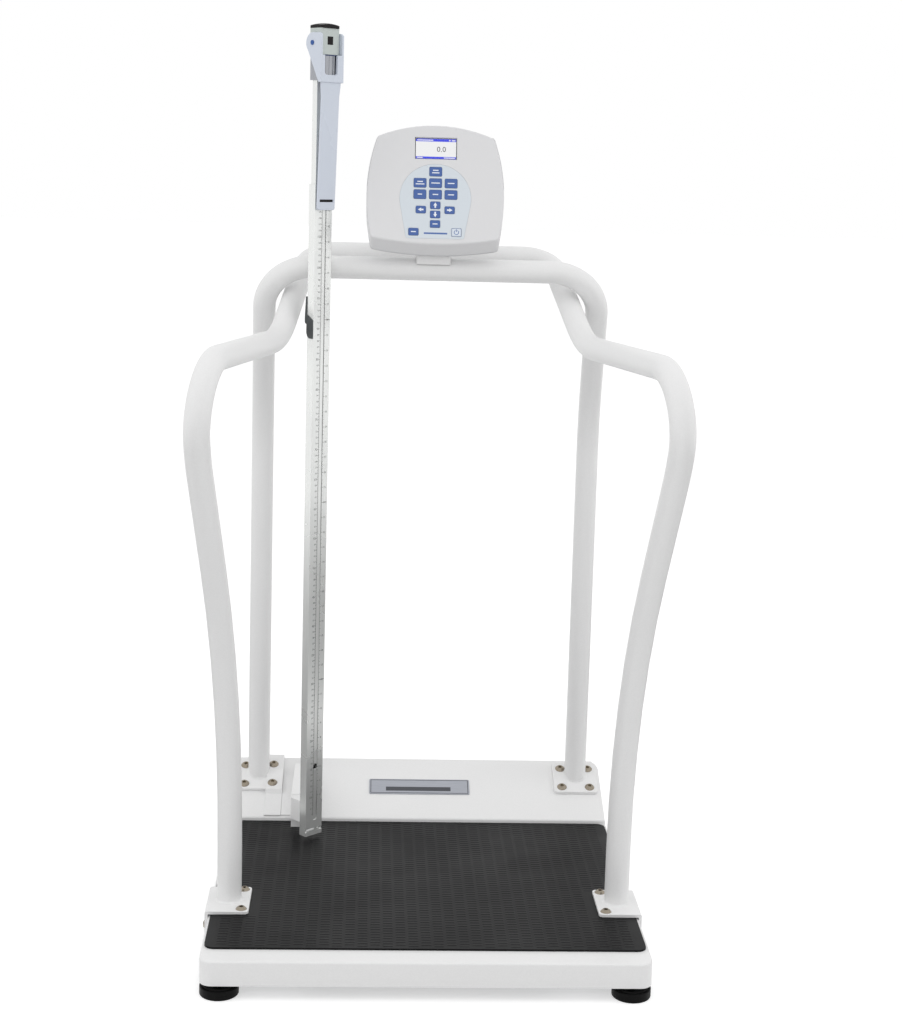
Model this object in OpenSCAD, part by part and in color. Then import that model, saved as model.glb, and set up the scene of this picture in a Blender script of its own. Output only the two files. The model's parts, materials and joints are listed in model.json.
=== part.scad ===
// Stand-on scale for heavy users: sheet-metal platform on four load cells, bent
// tube handrails, a console with membrane keys and a height rod.
// Millimetres, +Z up. X = 0 is the plane of symmetry. The origin lies on the
// floor, under the middle of the whole object's box.

/* [Platform] */
// Full width of the platform shell
platform_w = 665; // [600:1:760]
// Depth of the platform, from its front edge to the rear housing
platform_d = 558; // [520:1:640]
// Height of the standing surface above the floor
deck_h = 61; // [60:1:75]
// Gap between the floor and the shell's skirt
floor_gap = 20; // [18:1:22]
// Thickness of the shell's sheet metal
sheet_t = 2; // [1.5:0.5:2.5]
// Thickness of the rubber mat
mat_t = 3; // [2:0.5:4]
// Bare rim of the shell at each side of the mat
mat_rim = 4; // [3:1:12]
// Bare rim of the shell in front of the mat
front_rim = 42; // [20:1:70]
// Radius of the platform's corners, seen from above
corner_r = 19; // [10:1:26]

/* [Rear housing] */
// Depth of the rear housing
housing_d = 138; // [130:1:160]
// Height of the housing's front lip above the standing surface
housing_lip = 6; // [4:1:12]
// Slope of the housing's top, in degrees
housing_slope = 24.5; // [20:0.5:28]
// Width of the rear housing
housing_w = 662; // [597:1:757]
// Width of the bare name plate
plate_w = 180; // [100:1:220]
// Height of the bare name plate, up the slope
plate_h = 37; // [20:1:45]

/* [Tubes] */
// Outer diameter of the handrail and frame tube
tube_d = 38; // [34:1:42]
// Wall of the tube
tube_wall = 2; // [1.5:0.5:3]
// Height of the rails above the standing surface, at the front bend
rail_h = 870; // [800:1:950]
// Height of the rear frame's crossbar above the rails' front bend
crossbar_rise = 104; // [100:1:140]
// Thickness of the rear flanges
flange_t = 6; // [5:1:8]
// Thickness of the front brackets
bracket_t = 5; // [4:1:6]

/* [Bolts] */
// Shank diameter of the frame bolts
bolt_d = 10; // [8:1:12]
// Diameter of their domed heads
bolt_head_d = 17.5; // [15:0.5:19]

/* [Feet and wheels] */
// Diameter of the levelling feet
foot_d = 58; // [50:1:62]
// Travel of the levelling feet on their threads
foot_travel = 12; // [6:1:14]
// Diameter of the transport wheels
wheel_d = 60; // [56:1:62]

/* [Console] */
// Height of the middle of the console's face above the crossbar
console_rise = 125; // [120:1:140]
// Tilt of the console's face, in degrees back from upright
console_tilt = 18; // [14:1:20]
// Depth of the console's case
console_depth = 58; // [54:1:64]
// Wall of the console's case
case_wall = 2.5; // [2:0.5:3]
// Travel of the keys
key_travel = 0.8; // [0.5:0.1:1.2]
// Gap round each key
key_gap = 0.4; // [0.3:0.1:0.6]

/* [Height rod] */
// Length of the ruled mast above its foot cap
mast_len = 1090; // [950:1:1100]
// Width of the ruled mast
mast_w = 36; // [34:1:40]
// Depth of the ruled mast
mast_depth = 16; // [15:1:18]
// Turn of the mast about its own axis, in degrees
mast_turn = 42; // [38:1:46]
// Length of the folding headpiece, from its pin to its tip
arm_len = 265; // [220:1:280]

/* [Hidden] */
$fn = 48;
eps = 0.01;
fit = 0.2;         // gap between a shank or tube and the hole round it
gap = 0.3;         // gap between pieces that lie side by side

// Platform levels and edges; y = 0 is the mat's rear edge until placed() shifts it
shell_top = deck_h - mat_t;
front_y = -platform_d;
mat_w = platform_w - 2 * mat_rim;
mat_d = platform_d - front_rim;
frame_z = 26;
frame_h = shell_top - sheet_t - frame_z;
frame_wall = 2.5;
member_w = 40;
member_l = platform_w - 15;
rail_x = 150;
cross_front_y = front_y + 68;
cross_rear_y = 25;

// Rear housing
slope_z0 = deck_h + housing_lip;
slope_len = housing_d / cos(housing_slope);

// Rear frame flanges
flange_x = platform_w / 2 - 47.5;
flange_w = tube_d + 40;
flange_l = tube_d + 38;
flange_s = 102;
flange_bolt_s = 100;
flange_bolts = [tube_d + 12, tube_d + 9];
support_t = 6;
rear_post_y = flange_s * cos(housing_slope) + 4.2;
rear_post_x = platform_w / 2 - 46.5;

// Front brackets
bracket_l = 96;
bracket_y = front_y + 206;
bracket_in = platform_w / 2 - 61.5;
bracket_out = platform_w / 2 + gap;
front_post_x = platform_w / 2 - 29;
front_post_y = bracket_y;
side_bolt_y = bracket_y - 17;
side_bolt_z = floor_gap + 12;
bracket_bolt_x = bracket_in + 11.5;
bracket_bolt_pitch = 74;

// Tube routes of the right half, as corner points and bend radii
rear_foot_z = slope_z0 + rear_post_y * tan(housing_slope) - 14;
rail_top = deck_h + rail_h;
bar_z = rail_top + crossbar_rise;
bar_y = -40;
rear_route = [
  [rear_post_x, rear_post_y, rear_foot_z],
  [rear_post_x, rear_post_y, bar_z - 267],
  [rear_post_x - 8, bar_y, bar_z],
  [-rear_post_x + 8, bar_y, bar_z],
  [-rear_post_x, rear_post_y, bar_z - 267],
  [-rear_post_x, rear_post_y, rear_foot_z]];
rear_bends = [291, 82, 82, 291];
rail_route = [
  [front_post_x, front_post_y, deck_h + bracket_t],
  [front_post_x, front_post_y, rail_top - 535],
  [front_post_x + 35.5, front_post_y - 181, rail_top - 145],
  [front_post_x + 38.5, front_post_y - 253, rail_top],
  [rear_post_x - tube_d + 1, front_post_y + 226, rail_top - 10],
  [rear_post_x - 2 * tube_d, 112, rail_top + 120],
  [0, 112, rail_top + 120]];
rail_bends = [1080, 700, 80, 200, 57];

// Feet and load cells
foot_x = platform_w / 2 - foot_d / 2;
foot_front_y = front_y + 22;
foot_rear_y = 70;
foot_h = 16;
stem_d = 10;
cell_l = 140;
cell_w = 26;
cell_h = 20;
cell_z = 28;
cell_end = platform_w / 2 - 11;
cell_plate_l = 70;
cell_plate_t = frame_z + frame_h - cell_z - cell_h;

// Junction box, on the base frame's cross plate
box_y = 82;
box_l = 110;
box_w = 56;
box_h = 24;
box_wall = 2;

// Transport wheels
wheel_x = 115;
wheel_w = 22;
wheel_y = housing_d - 26;
wheel_z = wheel_d / 2 + 3;
axle_d = 8;

// Console, in its own frame: X right, Y up the face, Z out of the face
console_y = -72;
console_z = bar_z + console_rise;
cable_y = -48;
chin_drop = 14;
chin_depth = 24;
key_w = 20.4;
key_h = 15.6;
small_key_w = 16.3;
small_key_h = 12.2;
key_col = 25.4;
key_row = 19.3;
key_r = 2;
overlay_t = 0.8;
key_proud = 0.6;
key_skirt = 1;
key_stem_d = 4;
face_t = 3;
// Each key: place on the face, width and height
KEYS = [
  ["key_menu", 0, 37.7, key_w, key_h],
  ["key_left_top", -key_col, 18.2, key_w, key_h],
  ["key_mid_top", 0, 18.2, key_w, key_h],
  ["key_right_top", key_col, 18.2, key_w, key_h],
  ["key_left_low", -key_col, 18.2 - key_row, key_w, key_h],
  ["key_mid_low", 0, 18.2 - key_row, key_w, key_h],
  ["key_right_low", key_col, 18.2 - key_row, key_w, key_h],
  ["key_up", 0, -19.2, small_key_w, small_key_h],
  ["key_left", -23.5, -27, small_key_w, small_key_h],
  ["key_right", 23.5, -27, small_key_w, small_key_h],
  ["key_down", 0, -34.7, small_key_w, small_key_h],
  ["key_help", 0, -50.8, small_key_w, small_key_h],
  ["key_units", -35, -64.5, small_key_w, small_key_h],
  ["key_power", 35, -64.2, small_key_w, small_key_h + 1.6]];
screen_w = 69.8;
screen_h = 37.5;
screen_v = 77.5;
// Case outline, a barrel of four long arcs: its corners as [half width, height]
case_top = [95.9, 96.6];
case_top_mid = 116.8;
case_low = [104.2, -74.4];
case_low_mid = -84.3;
case_side_rise = 12;
case_corner_r = 7;
case_post_d = 9;
board_post_d = 7;
back_shrink = 0.86;
back_lift = 3;
door_w = 108;
door_h = 60;
board_n = -14;
board_t = 1.6;
board_v = -4;
board_w = 148;
board_h = 134;
dome_h = 1.6;
cell_d = 26;
battery_v = 20;

// Height rod's fixings
strap_w = 29.5;
strap_t = 3;
strap_x = -platform_w / 2 + 61;
web_x = -platform_w / 2 + 111;
bracket_front_y = -51;
bracket_top = deck_h + 67.5;

// Height rod: mast frame has X across the ruled face, Y backwards, Z up
mast_x = -platform_w / 2 + 137.9;
mast_gap = 2.82;
mast_y = bar_y - tube_d / 2 - mast_gap - mast_w * sin(mast_turn) - mast_depth * cos(mast_turn);
mast_foot_z = deck_h + 8;
mast_z = mast_foot_z + 12;
mast_wall = 2;
inner_gap = 0.3;
groove_w = 8;
groove_x = 19.5;
latch_low = mast_z + mast_len - 250.5;
latch_l = 68.5;
sleeve_l = 40;
head_z = mast_z + mast_len + 205;
head_top = head_z + 42;
pin_y = 5.5;
pin_z = head_z + 18.5;
pin_d = 6;
arm_t = 4.5;
ear_r = 16.3;
ear_t = 4;
ear_in = 0.6;
head_w = mast_w + 3;
yoke_front = pin_y - 21.5;
yoke_l = 62;
yoke_start = 20;
notch_r = 4;

// Highest and lowest Y of the whole object, which centre it on the origin
low_y = min([for (p = arc_points(rail_route[2], rail_route[3], rail_route[4], rail_bends[2])) p.y])
  - tube_d / 2;
high_y = wheel_y + wheel_d / 2;
y_shift = -(low_y + high_y) / 2;

// Vector helpers
function unit(v) = v / norm(v);
function corner_cut(a, b, r) = r / tan(acos(a * b) / 2);
function bend_centre(v, a, b, r) = v + unit(a + b) * r / sin(acos(a * b) / 2);

// Points along the bend at v1, for finding the object's extent
function arc_points(v0, v1, v2, r, n = 90) =
  let (a = unit(v0 - v1), b = unit(v2 - v1), c = bend_centre(v1, a, b, r),
       x = unit(v1 + a * corner_cut(a, b, r) - c), sweep = 180 - acos(a * b))
  [for (i = [0:n]) c + r * (x * cos(sweep * i / n) - a * sin(sweep * i / n))];

// Straight stretch of a 2D profile from p to q
module straight(p, q) {
  d = q - p;
  translate(p)
    rotate([0, acos(d.z / norm(d)), atan2(d.y, d.x)])
      linear_extrude(norm(d)) rotate(20) children();
}

// Bend of a 2D profile round the corner v1, between v0 and v2
module bend(v0, v1, v2, r) {
  a = unit(v0 - v1);
  b = unit(v2 - v1);
  c = bend_centre(v1, a, b, r);
  x = unit(v1 + a * corner_cut(a, b, r) - c);
  y = -a;
  z = cross(x, y);
  multmatrix([[x.x, y.x, z.x, c.x], [x.y, y.y, z.y, c.y], [x.z, y.z, z.z, c.z], [0, 0, 0, 1]])
    rotate_extrude(angle = 180 - acos(a * b)) translate([r, 0]) children();
}

// Rod or tube along a route of corner points, with one bend radius for each inner
// corner. The bends are a hair thicker, and the straights run a little way into them.
module along(route, bends, d, bore = 0) {
  last = len(route) - 1;
  lap = 0.3;
  hair = 0.2;
  cuts = [for (i = [0:last])
    i == 0 || i == last ? 0
      : corner_cut(unit(route[i - 1] - route[i]), unit(route[i + 1] - route[i]), bends[i - 1]) - lap];
  for (i = [0:last - 1]) {
    run = unit(route[i + 1] - route[i]);
    straight(route[i] + run * cuts[i], route[i + 1] - run * cuts[i + 1]) ring(d, bore);
  }
  for (i = [1:last - 1])
    bend(route[i - 1], route[i], route[i + 1], bends[i - 1])
      ring(d + hair, bore > 0 ? bore - hair : 0);
}

module ring(d, bore) {
  difference() {
    circle(d = d);
    if (bore > 0) circle(d = bore);
  }
}

// Rectangle with round corners, centred
module round_rect(w, h, r) {
  square([w - 2 * r, h], center = true);
  square([w, h - 2 * r], center = true);
  for (x = [-1, 1], y = [-1, 1])
    translate([x * (w / 2 - r), y * (h / 2 - r)]) circle(r);
}

module round_plate(w, h, t, r) {
  linear_extrude(t) round_rect(w, h, r);
}

// Domed bolt: head above z = 0, shank below
module dome_bolt(shank_l) {
  rise = bolt_head_d * 0.3;
  sphere_r = (pow(bolt_head_d / 2, 2) + pow(rise, 2)) / (2 * rise);
  intersection() {
    translate([0, 0, rise - sphere_r]) sphere(sphere_r);
    cylinder(d = bolt_head_d, h = rise + 1);
  }
  translate([0, 0, -shank_l]) cylinder(d = bolt_d, h = shank_l + eps);
}

// Frames of reference
module placed() {
  translate([0, y_shift, 0]) children();
}

module both_sides() {
  children();
  mirror([1, 0, 0]) children();
}

// Height of the housing's slope at y, or of a surface that lies below it
function slope_z(y, below = 0) = slope_z0 + y * tan(housing_slope) - below / cos(housing_slope);

module on_slope() {
  translate([0, 0, slope_z0]) rotate([housing_slope, 0, 0]) children();
}

// Where a point of the console's frame lies in depth and height
function console_point(v, n) =
  [console_y + v * sin(console_tilt) - n * cos(console_tilt),
   console_z + v * cos(console_tilt) + n * sin(console_tilt)];

module on_console() {
  placed() translate([0, console_y, console_z]) rotate([90 - console_tilt, 0, 0]) children();
}

module on_mast() {
  placed() translate([mast_x, mast_y, 0]) rotate([0, 0, mast_turn]) children();
}

// Platform
module platform_plan(inset) {
  intersection() {
    translate([0, (front_y + 40) / 2 + inset / 2])
      round_rect(platform_w - 2 * inset, 40 - front_y - inset, corner_r - inset);
    translate([-platform_w, front_y]) square([2 * platform_w, platform_d]);
  }
}

module bracket_bolt_places() {
  for (y = [-1, 1])
    translate([bracket_bolt_x, bracket_y + y * bracket_bolt_pitch / 2, 0]) children();
}

module bracket_bolt_holes() {
  both_sides() {
    bracket_bolt_places() cylinder(d = bolt_d + 2 * fit, h = deck_h + 20);
    translate([platform_w / 2 - 30, side_bolt_y, side_bolt_z])
      rotate([0, 90, 0]) cylinder(d = bolt_d + 2 * fit, h = 60);
  }
}

module platform_shell() {
  color("gainsboro") placed() difference() {
    union() {
      difference() {
        translate([0, 0, floor_gap]) linear_extrude(shell_top - floor_gap) platform_plan(0);
        translate([0, 0, floor_gap - 1])
          linear_extrude(shell_top - sheet_t - floor_gap + 1) {
            platform_plan(sheet_t);
            translate([-platform_w / 2 + sheet_t, -sheet_t - 1])
              square([platform_w - 2 * sheet_t, sheet_t + 2]);
          }
      }
      // Tongue under the housing's front lip
      translate([-housing_w / 2 + sheet_t + 1, -eps, shell_top - sheet_t])
        cube([housing_w - 2 * sheet_t - 2, 22, sheet_t]);
    }
    bracket_bolt_holes();
  }
}

module platform_mat() {
  color([0.16, 0.16, 0.17]) placed() difference() {
    translate([0, -mat_d / 2 - gap, shell_top])
      round_plate(mat_w, mat_d - 2 * gap, mat_t, corner_r - mat_rim);
    bracket_bolt_holes();
  }
}

// Members of the welded base frame, or with shrink their hollow insides
module frame_members(shrink) {
  for (y = [cross_front_y, bracket_y, cross_rear_y])
    translate([-member_l / 2 - shrink, y - member_w / 2 + shrink, frame_z + shrink])
      cube([member_l + 2 * shrink, member_w - 2 * shrink, frame_h - 2 * shrink]);
  for (x = [-rail_x, rail_x])
    translate([x - member_w / 2 + shrink, front_y + 10 - shrink, frame_z + shrink])
      cube([member_w - 2 * shrink, wheel_y + 18 - front_y - 10 + 2 * shrink, frame_h - 2 * shrink]);
}

// Plates that the load cells hang from
module cell_plates() {
  plate_x = rail_x + member_w / 2 - eps;
  top = frame_z + frame_h;
  translate([plate_x, front_y + 10, top - cell_plate_t])
    cube([cell_plate_l, cross_front_y - member_w / 2 - front_y - 10 + eps, cell_plate_t]);
  translate([plate_x, cross_rear_y + member_w / 2 - eps, top - cell_plate_t])
    cube([cell_plate_l, foot_rear_y + 20 - cross_rear_y - member_w / 2, cell_plate_t]);
}

// Plates behind the front brackets' bolts
module bracket_backing() {
  wing = (bracket_l - member_w) / 2;
  for (side = [-1, 1])
    translate([bracket_in - 4, bracket_y + side * (member_w + wing) / 2 - wing / 2 - eps,
               frame_z + frame_h - cell_plate_t])
      cube([member_l / 2 - bracket_in + 4, wing + 2 * eps, cell_plate_t]);
  translate([member_l / 2 - eps, bracket_y - bracket_l / 2, floor_gap + 1])
    cube([5, bracket_l, frame_z + frame_h - floor_gap - 1]);
}

// Sloping plates under the rear flanges, each on two gussets
module post_supports() {
  gusset_t = 6;
  low_y = cross_rear_y;
  high_y = (flange_s + 30) * cos(housing_slope);
  depth = sheet_t + gap + support_t;
  on_slope() translate([flange_x, flange_s, -depth])
    linear_extrude(support_t) square([flange_w - 6, flange_l - 8], center = true);
  for (x = [flange_x - 34, flange_x + 28])
    translate([x, 0, 0]) rotate([90, 0, 90]) linear_extrude(gusset_t)
      polygon([[low_y, frame_z + frame_h - eps], [low_y + member_w / 2, frame_z + frame_h - eps],
               [high_y, slope_z(high_y, depth) - 12], [high_y, slope_z(high_y, depth - 1)],
               [low_y, slope_z(low_y, depth - 1)]]);
}

module base_frame() {
  color("lightslategray") placed() difference() {
    union() {
      difference() {
        frame_members(0);
        frame_members(frame_wall);
      }
      both_sides() {
        cell_plates();
        bracket_backing();
        post_supports();
      }
      // Cross plate that carries the junction box
      translate([-80, cross_rear_y + member_w / 2 - eps, frame_z + frame_h - 3])
        cube([160, 80, 3]);
    }
    bracket_bolt_holes();
    both_sides() {
      translate([rail_x - member_w, wheel_y, wheel_z]) rotate([0, 90, 0])
        cylinder(d = axle_d + 2 * fit, h = 2 * member_w);
      cell_screw_places() cylinder(d = 6.4, h = 60);
      post_hole(20);
    }
    on_slope() both_sides() translate([0, 0, -60])
      flange_bolt_places() cylinder(d = bolt_d + 2 * fit, h = 80);
  }
}

module foot_places() {
  for (y = [foot_front_y, foot_rear_y]) translate([foot_x, y, 0]) children();
}

module cell_screw_places() {
  for (y = [foot_front_y, foot_rear_y], dx = [0, 20])
    translate([cell_end - cell_l + 14 + dx, y, 0]) children();
}

// Bending-beam cells with the usual dumb-bell cut-out
module load_cells() {
  color("silver") placed() both_sides() difference() {
    for (y = [foot_front_y, foot_rear_y])
      translate([cell_end - cell_l, y - cell_w / 2, cell_z]) cube([cell_l, cell_w, cell_h]);
    foot_places() cylinder(d = stem_d + 2 * fit, h = 80);
    for (y = [foot_front_y, foot_rear_y], dx = [62, 80])
      translate([cell_end - cell_l + dx, y - cell_w / 2 - 1, cell_z + cell_h / 2])
        rotate([-90, 0, 0]) cylinder(d = 13, h = cell_w + 2);
    cell_screw_places() cylinder(d = 6.4, h = 80);
  }
}

module foot(side, y) {
  edge = 2;
  color([0.1, 0.1, 0.1]) placed() translate([side * foot_x, y, 0]) {
    rotate_extrude() polygon(concat(
      [[0, 0]],
      [for (a = [-90:15:0]) [foot_d / 2 - edge + edge * cos(a), edge + edge * sin(a)]],
      [[foot_d / 2, foot_h - 3], [foot_d / 2 - 1, foot_h - 2], [foot_d / 2 - 4, foot_h - 2],
       [foot_d / 2 - 5, foot_h], [0, foot_h]]));
    cylinder(d = stem_d, h = cell_z + cell_h - 2);
    translate([0, 0, foot_h - eps]) cylinder(d = 20, h = 5, $fn = 6);
  }
}

module foot_front_left() { foot(-1, foot_front_y); }
module foot_front_right() { foot(1, foot_front_y); }
module foot_rear_left() { foot(-1, foot_rear_y); }
module foot_rear_right() { foot(1, foot_rear_y); }

// Rear housing
module housing_plan(inset) {
  intersection() {
    translate([0, housing_d - 60 - inset])
      round_rect(housing_w - 2 * inset, 120, corner_r - inset);
    translate([-housing_w, housing_d - 60]) square([2 * housing_w, 60]);
  }
  translate([-housing_w / 2 + inset, inset])
    square([housing_w - 2 * inset, housing_d - 50 - inset]);
}

module housing_body(inset) {
  drop = inset / cos(housing_slope);
  rise = housing_d * tan(housing_slope);
  intersection() {
    translate([0, 0, floor_gap - inset]) linear_extrude(200) housing_plan(inset);
    rotate([90, 0, 90]) translate([0, 0, -housing_w])
      linear_extrude(2 * housing_w)
        polygon([[-1, floor_gap - inset], [housing_d + 1, floor_gap - inset],
                 [housing_d + 1, slope_z0 + rise + tan(housing_slope) - drop],
                 [-1, slope_z0 - tan(housing_slope) - drop]]);
  }
}

module flange_bolt_places(inner = true, outer = true) {
  for (x = [if (inner) -1, if (outer) 1], s = [-1, 1])
    translate([flange_x + x * flange_bolts.x / 2, flange_bolt_s + s * flange_bolts.y / 2, 0])
      children();
}

// Upright hole on a rear post's axis
module post_hole(d) {
  translate([rear_post_x, rear_post_y, frame_z + frame_h + 5]) cylinder(d = d, h = 150);
}

module rear_housing() {
  color("gainsboro") placed() difference() {
    housing_body(0);
    housing_body(sheet_t);
    // Open front below the lip, round the platform shell
    translate([-housing_w / 2 + sheet_t, -1, floor_gap - 1])
      cube([housing_w - 2 * sheet_t, 8, shell_top - floor_gap + 1]);
    for (x = [-wheel_x, wheel_x])
      translate([x - wheel_w / 2 - 4, housing_d - 12, floor_gap - 1])
        cube([wheel_w + 8, 20, wheel_z + wheel_d / 2 + 6 - floor_gap]);
    on_slope() both_sides() translate([0, 0, -20])
      flange_bolt_places() cylinder(d = bolt_d + 2 * fit, h = 40);
    both_sides() post_hole(20);
  }
}

module name_plate() {
  plate_x = 3;
  plate_s = 78;
  color("silver") placed() on_slope() translate([plate_x, plate_s, 0])
    round_plate(plate_w, plate_h, 1.5, 3);
}

module junction_box() {
  color("dimgray") placed() translate([0, box_y, frame_z + frame_h + fit]) difference() {
    round_plate(box_l, box_w, box_h, 4);
    translate([0, 0, box_wall])
      round_plate(box_l - 2 * box_wall, box_w - 2 * box_wall, box_h - 2 * box_wall, 3);
    translate([40, 0, box_h / 2]) rotate([0, 90, 0]) cylinder(d = 7, h = 30);
  }
}

module junction_board() {
  stand = 7;
  color("darkgreen") placed() translate([0, box_y, frame_z + frame_h + stand]) {
    round_plate(box_l - 14, box_w - 10, board_t, 1);
    for (x = [-38, 38], y = [-15, 15])
      translate([x, y, box_wall + fit + 0.1 - stand]) cylinder(d = 5, h = stand - box_wall);
    translate([-20, -10, board_t - eps]) cube([12, 12, 2]);
    translate([10, -14, board_t - eps]) cube([24, 8, 9]);
  }
}

// Four-wire cable from the junction box to the console, inside the rear frame
module signal_cable() {
  low_z = frame_z + frame_h + fit + box_h / 2;
  bar = rear_route[2];
  route = [
    [50, box_y, low_z], [rear_post_x, rear_post_y, low_z],
    rear_route[1], bar, [0, cable_y, bar.z], [0, cable_y, console_z - 28]];
  color("dimgray") placed()
    along(route, [12, rear_bends[0], rear_bends[1], 12], 5);
}

// Tubes
module rear_frame() {
  color("whitesmoke") placed() difference() {
    along(rear_route, rear_bends, tube_d, tube_d - 2 * tube_wall);
    translate([0, cable_y, rear_route[2].z]) cylinder(d = 10, h = tube_d);
    // Mitred ends, just above the housing's slope
    on_slope() translate([-platform_w, 0, fit - 60]) cube([2 * platform_w, 2 * housing_d, 60]);
  }
}

module handrail() {
  color("whitesmoke") placed() along(rail_route, rail_bends, tube_d, tube_d - 2 * tube_wall);
}

module handrail_right() { handrail(); }
module handrail_left() { mirror([1, 0, 0]) handrail(); }

// Square plates that the rear frame's posts stand on
module rear_flanges() {
  color("gainsboro") placed() both_sides() difference() {
    on_slope() translate([flange_x, flange_s, 0]) round_plate(flange_w, flange_l, flange_t, 6);
    on_slope() translate([0, 0, -1])
      flange_bolt_places() cylinder(d = bolt_d + 2 * fit, h = flange_t + 2);
    post_hole(tube_d + fit);
  }
}

// The two that hold the height rod's strap stand higher by its thickness
module rear_flange_bolts() {
  color("silver") placed() on_slope() {
    flange_bolt_places() translate([0, 0, flange_t]) dome_bolt(24);
    mirror([1, 0, 0]) {
      flange_bolt_places(inner = false) translate([0, 0, flange_t]) dome_bolt(24);
      flange_bolt_places(outer = false) translate([0, 0, flange_t + strap_t]) dome_bolt(24 + strap_t);
    }
  }
}

// Angle brackets over the platform's edges, under the front posts
module front_brackets() {
  color("gainsboro") placed() both_sides() difference() {
    union() {
      translate([0, 0, deck_h]) linear_extrude(bracket_t) intersection() {
        translate([bracket_in + 40, bracket_y]) round_rect(80, bracket_l, 6);
        translate([bracket_in, bracket_y - bracket_l / 2])
          square([bracket_out + bracket_t - bracket_in, bracket_l]);
      }
      translate([bracket_out, bracket_y - bracket_l / 2, floor_gap + 1])
        cube([bracket_t, bracket_l, deck_h + bracket_t - floor_gap - 1]);
    }
    bracket_bolt_holes();
  }
}

module front_bracket_bolts() {
  color("silver") placed() both_sides() {
    bracket_bolt_places() translate([0, 0, deck_h + bracket_t]) dome_bolt(24);
    translate([bracket_out + bracket_t, side_bolt_y, side_bolt_z])
      rotate([0, 90, 0]) dome_bolt(20);
  }
}

// Transport wheels, which touch the floor when the scale is tipped back
module wheel(side) {
  hub_gap = 0.05;
  color([0.15, 0.15, 0.16]) placed() translate([side * wheel_x, wheel_y, wheel_z])
    rotate([0, 90, 0]) rotate_extrude() polygon([
      [axle_d / 2 + hub_gap, -wheel_w / 2], [wheel_d / 2 - 2, -wheel_w / 2],
      [wheel_d / 2, -wheel_w / 2 + 2], [wheel_d / 2, wheel_w / 2 - 2],
      [wheel_d / 2 - 2, wheel_w / 2], [axle_d / 2 + hub_gap, wheel_w / 2]]);
}

module wheel_left() { wheel(-1); }
module wheel_right() { wheel(1); }

module wheel_axles() {
  inner = wheel_x - wheel_w / 2 - 1;
  color("silver") placed() both_sides() translate([0, wheel_y, wheel_z]) rotate([0, 90, 0]) {
    translate([0, 0, inner]) cylinder(d = axle_d, h = rail_x + member_w / 2 + 8 - inner);
    translate([0, 0, inner - 4]) cylinder(d = 14, h = 4 + eps);
  }
}

// Height rod fixings
module rod_strap() {
  step_s = flange_s - flange_l / 2 - 8;
  color("gainsboro") placed() difference() {
    on_slope() translate([strap_x, 0, 0]) rotate([90, 0, 90]) linear_extrude(strap_w)
      polygon([[2.5, 0], [step_s, 0], [step_s + 6, flange_t], [slope_len - 3, flange_t],
               [slope_len - 3, flange_t + strap_t], [step_s + 5, flange_t + strap_t],
               [step_s - 1, strap_t], [2.5, strap_t]]);
    on_slope() mirror([1, 0, 0]) flange_bolt_places()
      translate([0, 0, -1]) cylinder(d = bolt_d + 2 * fit, h = 20);
    mirror([1, 0, 0]) post_hole(tube_d + 2 * fit);
  }
}

module rod_bracket() {
  depth = 17;
  foot_t = 2;
  web_t = 2.5;
  back_y = 108;
  color("whitesmoke") placed() {
    // Upright web, its lower edge on the slope
    translate([web_x, 0, 0]) rotate([90, 0, 90]) linear_extrude(web_t)
      polygon([[bracket_front_y, mast_foot_z], [-1, mast_foot_z], [2, slope_z(2)],
               [back_y, slope_z(back_y)], [back_y, bracket_top], [bracket_front_y, bracket_top]]);
    // Top and front flanges, turned to the right
    translate([web_x, bracket_front_y, bracket_top - web_t])
      cube([depth, back_y - bracket_front_y, web_t]);
    translate([web_x, bracket_front_y, mast_foot_z])
      cube([depth, web_t, bracket_top - mast_foot_z]);
    // Foot flange, turned left to the strap
    on_slope() translate([strap_x + strap_w, 4, 0])
      cube([web_x - strap_x - strap_w + 1, 100, foot_t]);
  }
  // Stand-off block between the front flange and the mast's back
  color("whitesmoke") difference() {
    on_mast() translate([3, mast_depth, mast_z + 8]) cube([20, 45, 38]);
    placed() {
      translate([web_x - 100, bracket_front_y, 0]) cube([400, 100, bracket_top + 50]);
      translate([web_x - 100, bracket_front_y - 60, 0]) cube([100, 100, bracket_top + 50]);
    }
    on_mast() rod_screw_places() cylinder(d = 5 + 2 * fit, h = 20);
  }
}

module rod_screw_places() {
  for (z = [mast_z + 16, mast_z + 38])
    translate([13, mast_depth - mast_wall, z]) rotate([-90, 0, 0]) children();
}

// Two screws from inside the mast into the stand-off block
module rod_screws() {
  color("silver") on_mast() rod_screw_places() {
    translate([0, 0, -1.5]) cylinder(d = 8, h = 1.5);
    cylinder(d = 5, h = 14);
  }
}

// Height rod
module ruled_mast() {
  color("silver") on_mast() difference() {
    translate([0, 0, mast_z]) cube([mast_w, mast_depth, mast_len]);
    translate([mast_wall, mast_wall, mast_z - 1])
      cube([mast_w - 2 * mast_wall, mast_depth - 2 * mast_wall, mast_len + 2]);
    // Sunk strip between the two rulings, round at its lower end
    translate([groove_x - groove_w / 2, -1, mast_z + 18])
      cube([groove_w, 1.8, mast_len]);
    translate([groove_x, -1, mast_z + 18]) rotate([-90, 0, 0]) cylinder(d = groove_w, h = 1.8);
    // Stop hole
    translate([groove_x, -1, mast_z + 109]) rotate([-90, 0, 0]) cylinder(d = 8.5, h = 6);
    rod_screw_places() translate([0, 0, -1]) cylinder(d = 5 + 2 * fit, h = 6);
  }
}

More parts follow.
